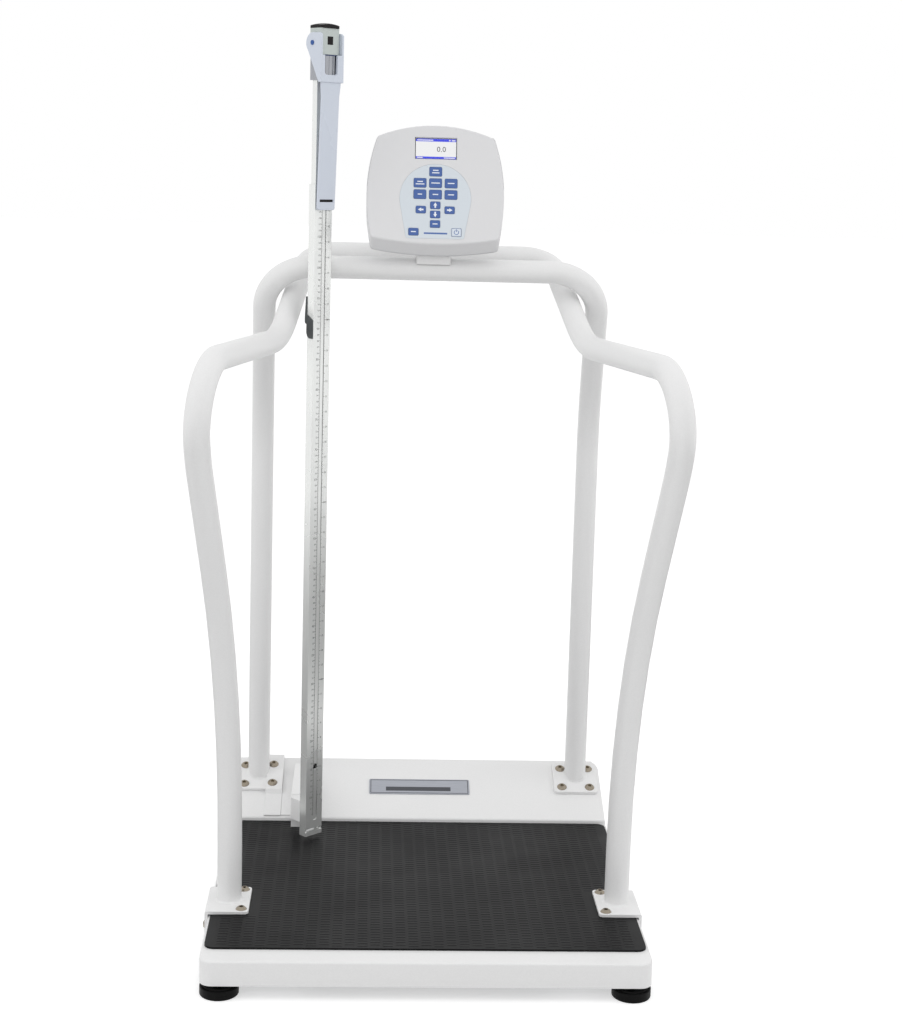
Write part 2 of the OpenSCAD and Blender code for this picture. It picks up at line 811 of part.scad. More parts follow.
module mast_foot_cap() {
  color("silver") on_mast() {
    translate([0, 0, mast_foot_z]) cube([mast_w, mast_depth, 7]);
    for (x = [mast_wall + gap, mast_w - mast_wall - gap - 3])
      translate([x, 6, mast_foot_z + 7 - eps]) cube([3, mast_depth - mast_wall - gap - 6, 14]);
    for (x = [0, mast_w - 4])
      translate([x, 2, mast_foot_z + 7 - eps]) cube([4, mast_depth - 2, 5 + eps]);
  }
}

module inner_mast() {
  inner_w = mast_w - 2 * mast_wall - 2 * inner_gap;
  inner_d = mast_depth - 2 * mast_wall - 2 * inner_gap;
  bottom = mast_z + 128;
  color("lightgray") on_mast() translate([mast_wall + inner_gap, mast_wall + inner_gap, bottom])
    difference() {
      cube([inner_w, inner_d, head_z - bottom]);
      translate([1.5, 1.5, -1]) cube([inner_w - 3, inner_d - 3, head_z - bottom + 2]);
    }
}

// Dark latch on the mast's left side, with a leaf behind it that a finger can press
module mast_latch() {
  cheek_t = 1.6;
  leaf_w = 8;
  back = mast_depth + fit;
  top = latch_low + latch_l;
  color([0.28, 0.3, 0.3]) on_mast() translate([-cheek_t, 0, 0]) rotate([90, 0, 90]) {
    linear_extrude(cheek_t)
      polygon([[0.4, latch_low], [back - 7, latch_low], [back - 2.5, latch_low + 3],
               [back, latch_low + 9], [back, latch_low + 23], [back + 2, latch_low + 24],
               [back + 2, latch_low + 41], [0.4, latch_low + 30]]);
    linear_extrude(cheek_t + leaf_w)
      polygon([[back, latch_low + 24], [back + 3, latch_low + 24], [back + 4.2, latch_low + 27],
               [back + 4.2, latch_low + 35], [back + 3, top - 16], [back + 1.9, top],
               [back + 0.6, top], [back, top - 20]]);
  }
}

// Fluted sleeve that carries the head block on the inner mast
module head_sleeve() {
  flutes = 5;
  pitch = head_w / flutes;
  color("silver") on_mast() difference() {
    translate([mast_w / 2, mast_depth / 2 - 4, head_z - sleeve_l]) round_plate(head_w - 1, 27, sleeve_l, 2);
    translate([mast_wall + fit / 2, mast_wall + fit / 2, head_z - sleeve_l - 1])
      cube([mast_w - 2 * mast_wall - fit, mast_depth - 2 * mast_wall - fit, sleeve_l + 2]);
    for (i = [0:flutes - 1])
      translate([mast_w / 2 + (i - (flutes - 1) / 2) * pitch, mast_depth / 2 - 19.2, head_z - sleeve_l - 1])
        cylinder(d = 5, h = sleeve_l + 2);
  }
}

module head_block() {
  color("lightgray") on_mast() difference() {
    translate([mast_w / 2, mast_depth / 2 - 4, head_z])
      round_plate(head_w, 28, head_top - head_z, 2);
    translate([mast_w / 2, pin_y, pin_z]) rotate([0, 90, 0])
      cylinder(d = pin_d + 0.1, h = head_w + 2, center = true);
    translate([mast_w / 2 - 5.5, mast_depth / 2 - 19, pin_z - 2.5]) cube([11.5, 4, 12.7]);
  }
}

module head_window() {
  color("black") on_mast()
    translate([mast_w / 2 - 5.4, mast_depth / 2 - 17.6, pin_z - 2.4]) cube([11.3, 2.5, 12.5]);
}

// Slightly domed cap
module head_cap() {
  dome_r = 70;
  color("black") on_mast() translate([mast_w / 2, mast_depth / 2 - 4, head_top]) intersection() {
    round_plate(head_w, 31, 8, 4);
    translate([0, 0, 8 - dome_r]) sphere(dome_r);
  }
}

// Side outline of a yoke ear: round about the pin, tapering down to the panel
module ear_outline() {
  translate([pin_y, pin_z]) circle(ear_r);
  polygon([[yoke_front, pin_z - yoke_l], [pin_y - 15, pin_z - yoke_l],
           [pin_y + (ear_r - 0.4) * cos(25), pin_z - (ear_r - 0.4) * sin(25)],
           [pin_y, pin_z], [pin_y, pin_z + ear_r - 0.4], [yoke_front + 4, pin_z + ear_r - 0.6],
           [yoke_front, pin_z + ear_r - 4]]);
}

// Front outline of the panel: wide at the yoke, with round corners at the tip
module panel_outline() {
  half = mast_w / 2;
  tip = arm_len;
  r = 4;
  polygon(concat(
    [[-half - 2, -yoke_start], [-half - 2, -yoke_l - 4], [-half, -yoke_l - 23]],
    [for (a = [180:15:270]) [-half + r + r * cos(a), r - tip + r * sin(a)]],
    [for (a = [270:15:360]) [half - r + r * cos(a), r - tip + r * sin(a)]],
    [[half, -yoke_l - 23], [half + 2, -yoke_l - 4], [half + 2, -yoke_start]]));
}

// Folding headpiece: a yoke round the head block with a long flat panel
module headpiece() {
  ear_x = (mast_w - head_w) / 2 - ear_in - ear_t;
  tip_z = pin_z - arm_len;
  tip_y = -2;
  color("lavender") on_mast() difference() {
    union() {
      for (x = [ear_x, mast_w - ear_x - ear_t])
        translate([x, 0, 0]) rotate([90, 0, 90]) linear_extrude(ear_t) ear_outline();
      translate([ear_x, yoke_front, pin_z - yoke_l])
        cube([mast_w - 2 * ear_x, arm_t, yoke_l - yoke_start + 1]);
      // Long panel, leaning back to the mast at its tip
      intersection() {
        rotate([90, 0, 90]) translate([0, 0, -mast_w]) linear_extrude(3 * mast_w)
          polygon([[yoke_front, pin_z - yoke_start], [yoke_front + arm_t, pin_z - yoke_start],
                   [tip_y, tip_z], [tip_y - arm_t, tip_z]]);
        translate([mast_w / 2, 40, pin_z]) rotate([90, 0, 0]) linear_extrude(80) panel_outline();
      }
    }
    translate([0, pin_y, pin_z]) rotate([0, 90, 0]) translate([0, 0, -mast_w])
      cylinder(d = pin_d + 0.1, h = 3 * mast_w);
    // Notch that shows the inner mast
    translate([16, yoke_front + 15, pin_z - 50]) rotate([90, 0, 0]) linear_extrude(20)
      translate([0, 30]) round_rect(26, 60, notch_r);
    // Grip slot near the tip
    translate([4, -20, tip_z + 13]) cube([mast_w - 8, 30, 4]);
  }
}

module headpiece_pin() {
  reach = head_w / 2 + ear_in + ear_t;
  color("royalblue") on_mast() translate([mast_w / 2, pin_y, pin_z]) rotate([0, 90, 0]) {
    cylinder(d = pin_d, h = 2 * reach, center = true);
    for (side = [0, 1]) mirror([0, 0, side]) translate([0, 0, reach]) cylinder(d = 7.5, h = 1.2);
  }
}

// Points of an arc from p to q that bulges to the left of that line by rise
function arc_through(p, q, rise, n = 12) =
  let (half = norm(q - p) / 2, r = (half * half + rise * rise) / (2 * rise),
       mid = (p + q) / 2, dir = (q - p) / (2 * half), out = [dir.y, -dir.x],
       c = mid - out * (r - rise), sweep = asin(half / r))
  [for (i = [0:n - 1]) let (a = sweep * (2 * i / n - 1)) c + r * (out * cos(a) + dir * sin(a))];

function barrel_points(drop) =
  let (low = case_low - [0, drop])
  concat(
    arc_through([-low.x, low.y], low, case_low.y - case_low_mid),
    arc_through(low, case_top, case_side_rise),
    arc_through(case_top, [-case_top.x, case_top.y], case_top_mid - case_top.y),
    arc_through([-case_top.x, case_top.y], [-low.x, low.y], case_side_rise));

module barrel(drop, inset) {
  offset(r = case_corner_r) offset(delta = -case_corner_r - inset) polygon(barrel_points(drop));
}

// Slab of the case between two outlines, from top down to low
module case_slab(top, low, drop_top, drop_low, inset, shrink = 1, lift = 0) {
  hull() {
    translate([0, 0, top - 1]) linear_extrude(1) barrel(drop_top, inset);
    translate([0, lift, low]) linear_extrude(1) scale([shrink, shrink]) barrel(drop_low, inset);
  }
}

module key_shape(k, grow) {
  translate([k[1], k[2]]) round_rect(k[3] + 2 * grow, k[4] + 2 * grow, key_r + grow);
}

// Keypad sheet: a round top over sides that draw in, with round lower corners
module keypad_outline(inset) {
  r = 58.7 - inset;
  mid = -8;
  low = [48.1 - inset, -75.6 + inset];
  corner = 4;
  polygon(concat(
    [for (a = [-10:5:190]) [r * cos(a), mid + r * sin(a)]],
    [for (a = [180:30:270]) [-low.x + corner + corner * cos(a), low.y + corner + corner * sin(a)]],
    [for (a = [270:30:360]) [low.x - corner + corner * cos(a), low.y + corner + corner * sin(a)]]));
}

// Upright hole for the signal cable, in the console's frame
module upright_cable_hole(d) {
  rotate([console_tilt - 90, 0, 0]) translate([0, cable_y - console_y, -150]) cylinder(d = d, h = 120);
}

module case_post_places() {
  for (x = [-84, 84], y = [-46, 60]) translate([x, y, 0]) children();
}

module board_post_places() {
  for (x = [-66, 66], y = [board_v - 58, board_v + 50]) translate([x, y, 0]) children();
}

module console_front() {
  color("whitesmoke") on_console() difference() {
    union() {
      difference() {
        case_slab(0, -chin_depth, 0, chin_drop, 0);
        case_slab(-face_t, -chin_depth - 2, 0, chin_drop, case_wall);
      }
      case_post_places() translate([0, 0, -chin_depth])
        cylinder(d = case_post_d, h = chin_depth - face_t + eps);
      board_post_places() translate([0, 0, board_n + board_t])
        cylinder(d = board_post_d, h = -board_n - board_t - face_t + eps);
    }
    translate([0, 0, -overlay_t]) linear_extrude(2) keypad_outline(0);
    translate([0, 0, -10]) linear_extrude(20) for (k = KEYS) key_shape(k, key_gap);
    translate([0, screen_v, -10]) linear_extrude(20) round_rect(screen_w, screen_h, 1);
    case_post_places() translate([0, 0, -chin_depth - 1]) cylinder(d = 3.6, h = 14);
    board_post_places() translate([0, 0, board_n]) cylinder(d = 2.6, h = 8);
  }
}

module console_back() {
  back_top = -chin_depth - fit / 2;
  color("gainsboro") on_console() difference() {
    union() {
      difference() {
        case_slab(back_top, -console_depth, chin_drop, chin_drop, 0, back_shrink, back_lift);
        case_slab(back_top + 2, -console_depth + case_wall, chin_drop, chin_drop, case_wall,
                  back_shrink, back_lift);
      }
      case_post_places() translate([0, 0, -console_depth + 1])
        cylinder(d = case_post_d, h = console_depth - chin_depth - 1 - fit / 2);
    }
    translate([0, battery_v, -console_depth - 1]) round_plate(door_w, door_h, 10, 4);
    case_post_places() {
      translate([0, 0, -console_depth - 1]) cylinder(d = 4.4, h = console_depth);
      translate([0, 0, -console_depth - 1]) cylinder(d = 7.4, h = 20);
    }
    upright_cable_hole(10);
  }
}

// Case screws in the four posts, and the circuit board's four
module console_screws() {
  color("silver") on_console() {
    case_post_places() {
      translate([0, 0, -console_depth + 17]) cylinder(d = 6.6, h = 2);
      translate([0, 0, -console_depth + 18]) cylinder(d = 3.2, h = 26);
    }
    board_post_places() {
      translate([0, 0, board_n - 1.6]) cylinder(d = 5, h = 1.6);
      translate([0, 0, board_n - 1]) cylinder(d = 2.2, h = 8);
    }
  }
}

module battery_door() {
  color("whitesmoke") on_console() translate([0, battery_v, -console_depth]) difference() {
    round_plate(door_w - 2 * gap, door_h - 2 * gap, case_wall, 4 - gap);
    for (i = [-2:2]) translate([-20, -20 + i * 3, -1]) cube([40, 1.2, 1.8]);
  }
}

// Four cells, two beside two, on the door's inner side
module battery_cells() {
  cell_l = 49;
  color("goldenrod") on_console() for (x = [-cell_l - 1, 1], v = [-1, 1])
    translate([x, battery_v + v * (cell_d / 2 + 0.5), -console_depth + case_wall + cell_d / 2 + fit])
      rotate([0, 90, 0]) cylinder(d = cell_d, h = cell_l);
}

module display_window() {
  color([0.55, 0.7, 0.9, 0.5]) on_console() translate([0, screen_v, -face_t])
    round_plate(screen_w - 2 * gap, screen_h - 2 * gap, face_t - 0.4, 1);
}

module display_panel() {
  panel_t = 6;
  color("white") on_console() translate([0, screen_v, -face_t - panel_t]) difference() {
    round_plate(84, 44, panel_t, 1);
    translate([0, 0, panel_t - 0.2]) round_plate(66, 34, 1, 0.5);
  }
}

module keypad_sheet() {
  color([0.84, 0.87, 0.9]) on_console() translate([0, 0, -overlay_t])
    linear_extrude(overlay_t) difference() {
      keypad_outline(gap);
      for (k = KEYS) key_shape(k, key_gap);
    }
}

// Board with a dome switch under each key and a connector for the signal cable
module circuit_board() {
  color("darkgreen") on_console() difference() {
    union() {
      translate([0, board_v, board_n]) round_plate(board_w, board_h, board_t, 3);
      for (k = KEYS) translate([k[1], k[2], board_n + board_t - eps]) cylinder(d = 7, h = dome_h);
      translate([-8, -17, board_n - 20]) cube([16, 8, 20 + eps]);
      translate([-60, -50, board_n - 3]) cube([24, 24, 3 + eps]);
      translate([-30, 50, board_n - 5]) cube([60, 6, 5 + eps]);
    }
    board_post_places() translate([0, 0, board_n - 1]) cylinder(d = 2.6, h = 5);
  }
}

// One key: its cap through the face, a skirt that keeps it in, and a stem to its switch
module key(i) {
  k = KEYS[i];
  skirt_top = -face_t - fit;
  stem_low = board_n + board_t + dome_h + key_travel + gap;
  body = k[0] == "key_power" ? [0.85, 0.88, 0.92] : [0.35, 0.47, 0.7];
  color(body) on_console() {
    translate([0, 0, skirt_top - 1]) linear_extrude(key_proud - skirt_top + 1) key_shape(k, 0);
    translate([0, 0, skirt_top - 1]) linear_extrude(1) key_shape(k, key_skirt);
    translate([k[1], k[2], stem_low]) cylinder(d = key_stem_d, h = skirt_top - 1 - stem_low + eps);
  }
}

module key_menu() { key(0); }
module key_left_top() { key(1); }
module key_mid_top() { key(2); }
module key_right_top() { key(3); }
module key_left_low() { key(4); }
module key_mid_low() { key(5); }
module key_right_low() { key(6); }
module key_up() { key(7); }
module key_left() { key(8); }
module key_right() { key(9); }
module key_down() { key(10); }
module key_help() { key(11); }
module key_units() { key(12); }
module key_power() { key(13); }

// Saddle between the rear frame's crossbar and the console's underside
module console_bracket() {
  saddle_w = 57;
  saddle_d = 44;
  bar = rear_route[2];
  low_z = bar.z + 9;
  low_v = case_low_mid - chin_drop;
  front = console_point(low_v, -chin_depth);
  back = console_point(back_shrink * low_v + back_lift, -console_depth);
  color("gainsboro") placed() difference() {
    translate([0, bar.y, low_z]) round_plate(saddle_w, saddle_d, 60, 5);
    translate([-saddle_w, bar.y, bar.z]) rotate([0, 90, 0])
      cylinder(d = tube_d + 2 * fit, h = 2 * saddle_w);
    translate([0, cable_y, bar.z]) cylinder(d = 8, h = 100);
    // Top face on the line of the case's sloping underside
    translate([-saddle_w, 0, -fit]) rotate([90, 0, 90]) linear_extrude(2 * saddle_w)
      polygon([front, back, back + [60, 0], back + [60, 100], front + [-1, 100], front + [-1, 0]]);
  }
}

platform_shell();
platform_mat();
base_frame();
load_cells();
foot_front_left();
foot_front_right();
foot_rear_left();
foot_rear_right();
rear_housing();
name_plate();
junction_box();
junction_board();
signal_cable();
rear_frame();
handrail_left();
handrail_right();
rear_flanges();
rear_flange_bolts();
front_brackets();
front_bracket_bolts();
wheel_left();
wheel_right();
wheel_axles();
rod_strap();
rod_bracket();
rod_screws();
ruled_mast();
mast_foot_cap();
mast_latch();
inner_mast();
head_sleeve();
head_block();
head_cap();
head_window();
headpiece();
headpiece_pin();
console_front();
console_back();
console_screws();
console_bracket();
display_window();
display_panel();
keypad_sheet();
circuit_board();
battery_door();
battery_cells();
key_menu();
key_left_top();
key_mid_top();
key_right_top();
key_left_low();
key_mid_low();
key_right_low();
key_up();
key_left();
key_right();
key_down();
key_help();
key_units();
key_power();
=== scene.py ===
"""A stand-on scale with bent tube handrails, a keypad console and a ruled height rod,
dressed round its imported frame: camera, light, finishes and the pieces that give it detail."""

import json
import math

import bmesh
import bpy
from mathutils import Matrix, Vector

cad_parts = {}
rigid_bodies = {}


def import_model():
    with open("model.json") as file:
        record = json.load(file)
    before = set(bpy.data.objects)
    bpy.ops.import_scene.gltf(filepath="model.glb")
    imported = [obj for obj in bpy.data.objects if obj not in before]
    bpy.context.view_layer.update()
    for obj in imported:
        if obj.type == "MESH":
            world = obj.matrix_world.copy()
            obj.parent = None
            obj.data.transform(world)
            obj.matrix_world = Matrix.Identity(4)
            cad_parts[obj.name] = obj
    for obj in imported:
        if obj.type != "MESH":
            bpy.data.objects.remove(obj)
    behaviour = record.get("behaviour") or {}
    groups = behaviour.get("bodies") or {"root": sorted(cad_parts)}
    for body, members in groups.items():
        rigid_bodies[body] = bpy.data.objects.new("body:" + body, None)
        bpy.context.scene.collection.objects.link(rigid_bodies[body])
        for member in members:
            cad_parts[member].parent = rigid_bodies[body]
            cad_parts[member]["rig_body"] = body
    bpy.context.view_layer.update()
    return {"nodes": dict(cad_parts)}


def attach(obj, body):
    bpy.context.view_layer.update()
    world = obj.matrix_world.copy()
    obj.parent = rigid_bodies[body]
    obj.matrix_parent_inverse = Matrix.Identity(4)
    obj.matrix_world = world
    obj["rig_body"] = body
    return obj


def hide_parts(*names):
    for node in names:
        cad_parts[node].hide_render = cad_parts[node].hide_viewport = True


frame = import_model()
nodes = frame["nodes"]
scene = bpy.context.scene

# Lengths below are in millimetres, with y = 0 at the mat's rear edge. These matrices
# take them to the frame's metres: upright, on the housing's slope, on the console's
# face (x right, y up the face, z out of it) and on the turned mast.
MM = 0.001
MAT_REAR = 216.076
BASE = Matrix.Scale(MM, 4) @ Matrix.Translation((0, MAT_REAR, 0))
SLOPE_FOOT, SLOPE_ANGLE = 67, math.radians(24.5)
SLOPE = BASE @ Matrix.Translation((0, 0, SLOPE_FOOT)) @ Matrix.Rotation(SLOPE_ANGLE, 4, "X")
CONSOLE_Y, CONSOLE_Z, CONSOLE_ANGLE = -72, 1160, math.radians(72)
FACE = (BASE @ Matrix.Translation((0, CONSOLE_Y, CONSOLE_Z))
        @ Matrix.Rotation(CONSOLE_ANGLE, 4, "X"))
MAST_X, MAST_Y, MAST_TURN = -194.6, -97.8, math.radians(42)
MAST = BASE @ Matrix.Translation((MAST_X, MAST_Y, 0)) @ Matrix.Rotation(MAST_TURN, 4, "Z")
RIGHT_ANGLE = math.radians(90)
FULL_TURN = math.radians(360)


# Finishes

def srgb(code):
    """A colour written as sRGB hex, as linear red, green, blue and alpha."""
    parts = [int(code[i:i + 2], 16) / 255 for i in (1, 3, 5)]
    return [c / 12.92 if c <= 0.04045 else ((c + 0.055) / 1.055) ** 2.4 for c in parts] + [1]


def add(tree, kind, inputs=None, **settings):
    """Adds a shader node. Each input takes a plain value or another node's output."""
    made = tree.nodes.new("ShaderNode" + kind)
    for name, value in settings.items():
        setattr(made, name, value)
    for name, value in (inputs or {}).items():
        if isinstance(value, bpy.types.NodeSocket):
            tree.links.new(value, made.inputs[name])
        else:
            made.inputs[name].default_value = value
    return made


def blank(name):
    """A new material, its node tree and its shader."""
    material = bpy.data.materials.new(name)
    material.use_nodes = True
    return material, material.node_tree, material.node_tree.nodes["Principled BSDF"]


def surface(name, light, dark, roughness, grain, relief, stretch=(1, 1, 1), wear=0.04,
            **sockets):
    """A finish with a grain of a real size in millimetres. The grain runs between two
    colours and stands relief millimetres high; a slow drift of gloss, about 90 mm
    across, is what handling and cleaning leave."""
    material, tree, shader = blank(name)
    place = add(tree, "TexCoord")
    along = add(tree, "Mapping", {"Vector": place.outputs["Object"], "Scale": stretch})
    fine = add(tree, "TexNoise", {"Vector": along.outputs[0], "Scale": 1 / (grain * MM),
                                  "Detail": 2.0, "Roughness": 0.55})
    slow = add(tree, "TexNoise", {"Vector": place.outputs["Object"], "Scale": 11.0, "Detail": 3.0})
    colour = add(tree, "Mix", {0: fine.outputs["Fac"], 6: srgb(light), 7: srgb(dark)},
                 data_type="RGBA")
    gloss = add(tree, "MapRange", {"Value": slow.outputs["Fac"], "From Min": 0.3, "From Max": 0.7,
                                   "To Min": roughness - wear, "To Max": roughness + wear})
    bump = add(tree, "Bump", {"Height": fine.outputs["Fac"], "Distance": relief * MM,
                              "Strength": 1.0})
    tree.links.new(colour.outputs[2], shader.inputs["Base Color"])
    tree.links.new(gloss.outputs["Result"], shader.inputs["Roughness"])
    tree.links.new(bump.outputs["Normal"], shader.inputs["Normal"])
    for socket, value in sockets.items():
        shader.inputs[socket.replace("_", " ")].default_value = value
    return material


# Polyester powder coat on steel: a faint orange-peel skin, satin, a neutral white
powder_coat = surface("white_polyester_powder_coat", "#ededed", "#e5e5e5", 0.4, 2.2, 0.012)
# Moulded rubber mat: near black, a dull sheen from a fine moulded grain
mat_rubber = surface("black_moulded_rubber", "#151516", "#0c0c0d", 0.42, 1.1, 0.05,
                     Specular_IOR_Level=0.12)
# Turned rubber of the levelling feet: smoother and a little glossier than the mat
foot_rubber = surface("black_turned_rubber", "#080808", "#040404", 0.45, 0.8, 0.02,
                      Specular_IOR_Level=0.1)
# Grey enamel on the hidden base frame: brushed on, so slightly uneven
frame_enamel = surface("grey_brushed_enamel", "#7d848b", "#6e757c", 0.5, 4.0, 0.05)
# Milled aluminium of the load cells: bright, with fine tool marks across
milled_aluminium = surface("milled_aluminium", "#d2d4d6", "#bfc2c5", 0.32, 0.5, 0.01,
                           stretch=(1, 9, 1), Metallic=1.0)
# Clear-anodised extruded aluminium: die lines run along the length, a soft silver sheen
# that the oxide layer clouds a little
anodised_aluminium = surface("anodised_extruded_aluminium", "#f4f5f4", "#e2e4e2", 0.27, 0.9,
                             0.012, stretch=(1, 1, 0.02), Metallic=0.66)
# Bright drawn aluminium of the sleeve under the head block
drawn_aluminium = surface("bright_drawn_aluminium", "#b9bbc0", "#8f9197", 0.2, 0.6, 0.01,
                          stretch=(1, 1, 0.03), Metallic=1.0)
# Polished stainless steel bolts: warm grey, nearly mirror
stainless_steel = surface("polished_stainless_steel", "#a49b8d", "#8d8476", 0.16, 3.0, 0.004,
                          wear=0.02, Metallic=1.0)
# Brushed aluminium name plate: strokes run along the plate
brushed_plate = surface("brushed_aluminium_plate", "#b9bcc4", "#9b9ea6", 0.4, 0.6, 0.01,
                        stretch=(0.03, 1, 1), Metallic=0.85)
# Glass-filled black nylon: the head's cap and window, the junction box
black_plastic = surface("black_moulded_nylon", "#130f11", "#0a0708", 0.36, 0.7, 0.012,
                        Specular_IOR_Level=0.24)
# Charcoal acetal of the latch: waxy and dark grey
dark_acetal = surface("charcoal_acetal", "#4b4f50", "#3f4344", 0.42, 0.9, 0.01)
# Circuit boards: green solder mask, glossy over fine copper tracks
solder_mask = surface("green_solder_mask", "#2f6b45", "#1f5134", 0.28, 1.6, 0.02)
# Grey PVC cable jacket
cable_jacket = surface("grey_pvc_jacket", "#8a8c8e", "#7b7d7f", 0.5, 1.2, 0.02)
# Transport wheels: dark grey rubber
tyre_rubber = surface("dark_tyre_rubber", "#2d2e30", "#222325", 0.55, 0.9, 0.04)
# Pale grey-green moulding of the head block
head_plastic = surface("pale_grey_moulded_abs", "#c6cdca", "#bbc3c0", 0.4, 0.7, 0.01)
# Headpiece: pale lavender ABS, moulded with a fine even texture
lavender_plastic = surface("pale_lavender_abs", "#d3d9e4", "#cbd2de", 0.26, 0.7, 0.006)
# Blue nylon pin
blue_nylon = surface("blue_moulded_nylon", "#2156a0", "#1b4a8e", 0.35, 0.6, 0.01)
# Console case: white ABS with a fine spark-eroded texture that kills the gloss
console_abs = surface("white_textured_abs", "#e1e1e2", "#d9d9db", 0.5, 0.6, 0.02)
# Printed polyester keypad film and its rubber keys
keypad_film = surface("pale_blue_polyester_film", "#d8dfe5", "#d2dae1", 0.36, 0.5, 0.008)
blue_rubber = surface("blue_silicone_rubber", "#4b69a8", "#415f9f", 0.42, 0.5, 0.01)
pale_rubber = surface("pale_silicone_rubber", "#dde4ec", "#d5dde6", 0.42, 0.5, 0.01)
# Battery cells: brass-coloured jackets
cell_jacket = surface("printed_cell_jacket", "#c9a23c", "#a8842b", 0.35, 6.0, 0.005)
# Inks and paints of the small printed marks
black_ink = surface("black_ruling_ink", "#2a2b2c", "#202122", 0.5, 0.5, 0.002)
white_ink = surface("white_key_ink", "#eef1f6", "#e5e9f0", 0.5, 0.5, 0.002)
blue_ink = surface("blue_panel_ink", "#5775b1", "#4e6ba6", 0.5, 0.5, 0.002)
dark_ink = surface("dark_plate_ink", "#4a4c52", "#3e4046", 0.5, 0.5, 0.002)
navy_band = surface("navy_band_finish", "#2b3a66", "#223058", 0.45, 0.6, 0.004)


def lit(name, code, strength):
    """A part of the display that glows: a liquid-crystal screen with its backlight on.
    Fine pixel rows, 0.3 mm apart, dim it slightly."""
    material, tree, shader = blank(name)
    place = add(tree, "TexCoord")
    rows = add(tree, "TexWave", {"Vector": place.outputs["Object"], "Scale": 520.0},
               bands_direction="Z")
    glow = add(tree, "Mix", {0: rows.outputs["Fac"], 6: srgb(code),
                             7: [c * 0.94 for c in srgb(code)[:3]] + [1]}, data_type="RGBA")
    tree.links.new(glow.outputs[2], shader.inputs["Emission Color"])
    shader.inputs["Emission Strength"].default_value = strength
    shader.inputs["Base Color"].default_value = srgb("#0c0d10")
    shader.inputs["Roughness"].default_value = 0.3
    return material


screen_white = lit("backlit_white", "#ffffff", 0.95)
screen_blue = lit("backlit_blue", "#2c3cf0", 0.95)
screen_ink = surface("dark_liquid_crystal", "#3c3e42", "#34363a", 0.4, 0.5, 0.002)


def clear_window():
    """Clear polycarbonate over the display: it shows what is behind it, with a faint gloss."""
    material, tree, shader = blank("clear_polycarbonate")
    place = add(tree, "TexCoord")
    smear = add(tree, "TexNoise", {"Vector": place.outputs["Object"], "Scale": 60.0})
    gloss = add(tree, "MapRange", {"Value": smear.outputs["Fac"], "To Min": 0.04, "To Max": 0.12})
    tree.links.new(gloss.outputs["Result"], shader.inputs["Roughness"])
    shader.inputs["Base Color"].default_value = srgb("#8a8f98")
    shader.inputs["Alpha"].default_value = 0.07
    shader.inputs["IOR"].default_value = 1.585
    return material


polycarbonate = clear_window()

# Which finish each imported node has
FINISHES = {
    powder_coat: ["platform_shell", "rear_housing", "rear_frame", "handrail_left",
                  "handrail_right", "rear_flanges", "front_brackets", "rod_strap",
                  "rod_bracket", "console_bracket"],
    mat_rubber: ["platform_mat"],
    foot_rubber: ["foot_front_left", "foot_front_right", "foot_rear_left", "foot_rear_right"],
    frame_enamel: ["base_frame"],
    milled_aluminium: ["load_cells"],
    anodised_aluminium: ["ruled_mast", "mast_foot_cap", "inner_mast"],
    stainless_steel: ["rear_flange_bolts", "front_bracket_bolts", "wheel_axles", "rod_screws",
                      "console_screws"],
    brushed_plate: ["name_plate"],
    black_plastic: ["junction_box", "head_cap", "head_window"],
    dark_acetal: ["mast_latch"],
    solder_mask: ["junction_board", "circuit_board"],
    cable_jacket: ["signal_cable"],
    tyre_rubber: ["wheel_left", "wheel_right"],
    drawn_aluminium: ["head_sleeve"],
    head_plastic: ["head_block"],
    lavender_plastic: ["headpiece"],
    blue_nylon: ["headpiece_pin"],
    console_abs: ["console_front", "console_back", "battery_door"],
    keypad_film: ["keypad_sheet"],
    cell_jacket: ["battery_cells"],
    polycarbonate: ["display_window"],
    screen_white: ["display_panel"],
    pale_rubber: ["key_power"],
    blue_rubber: ["key_menu", "key_left_top", "key_mid_top", "key_right_top", "key_left_low",
                  "key_mid_low", "key_right_low", "key_up", "key_left", "key_right", "key_down",
                  "key_help", "key_units"],
}
finish_of = {}
for material, names in FINISHES.items():
    for name in names:
        finish_of[name] = material
        nodes[name].data.materials.clear()
        nodes[name].data.materials.append(material)


# Making pieces

CREASE = 38
WELD = 1e-4


def piece(name, bm, place, material, body, replaces=(), crease=CREASE, even=True):
    """Turns a bmesh into a named piece that rides on its body. Edges sharper than the
    crease angle stay sharp; even keeps broad flats flat beside their rounded edges."""
    if place is not None:
        bmesh.ops.transform(bm, matrix=place, verts=bm.verts)
    limit = math.radians(crease)
    for edge in bm.edges:
        edge.smooth = len(edge.link_faces) == 2 and edge.calc_face_angle(0) < limit
    for face in bm.faces:
        face.smooth = True
    mesh = bpy.data.meshes.new(name)
    bm.to_mesh(mesh)
    bm.free()
    mesh.materials.append(material)
    made = bpy.data.objects.new(name, mesh)
    scene.collection.objects.link(made)
    if even:
        weigh = made.modifiers.new("even_shading", "WEIGHTED_NORMAL")
        weigh.keep_sharp = True
    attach(made, body)
    if replaces:
        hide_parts(*replaces)
    return made


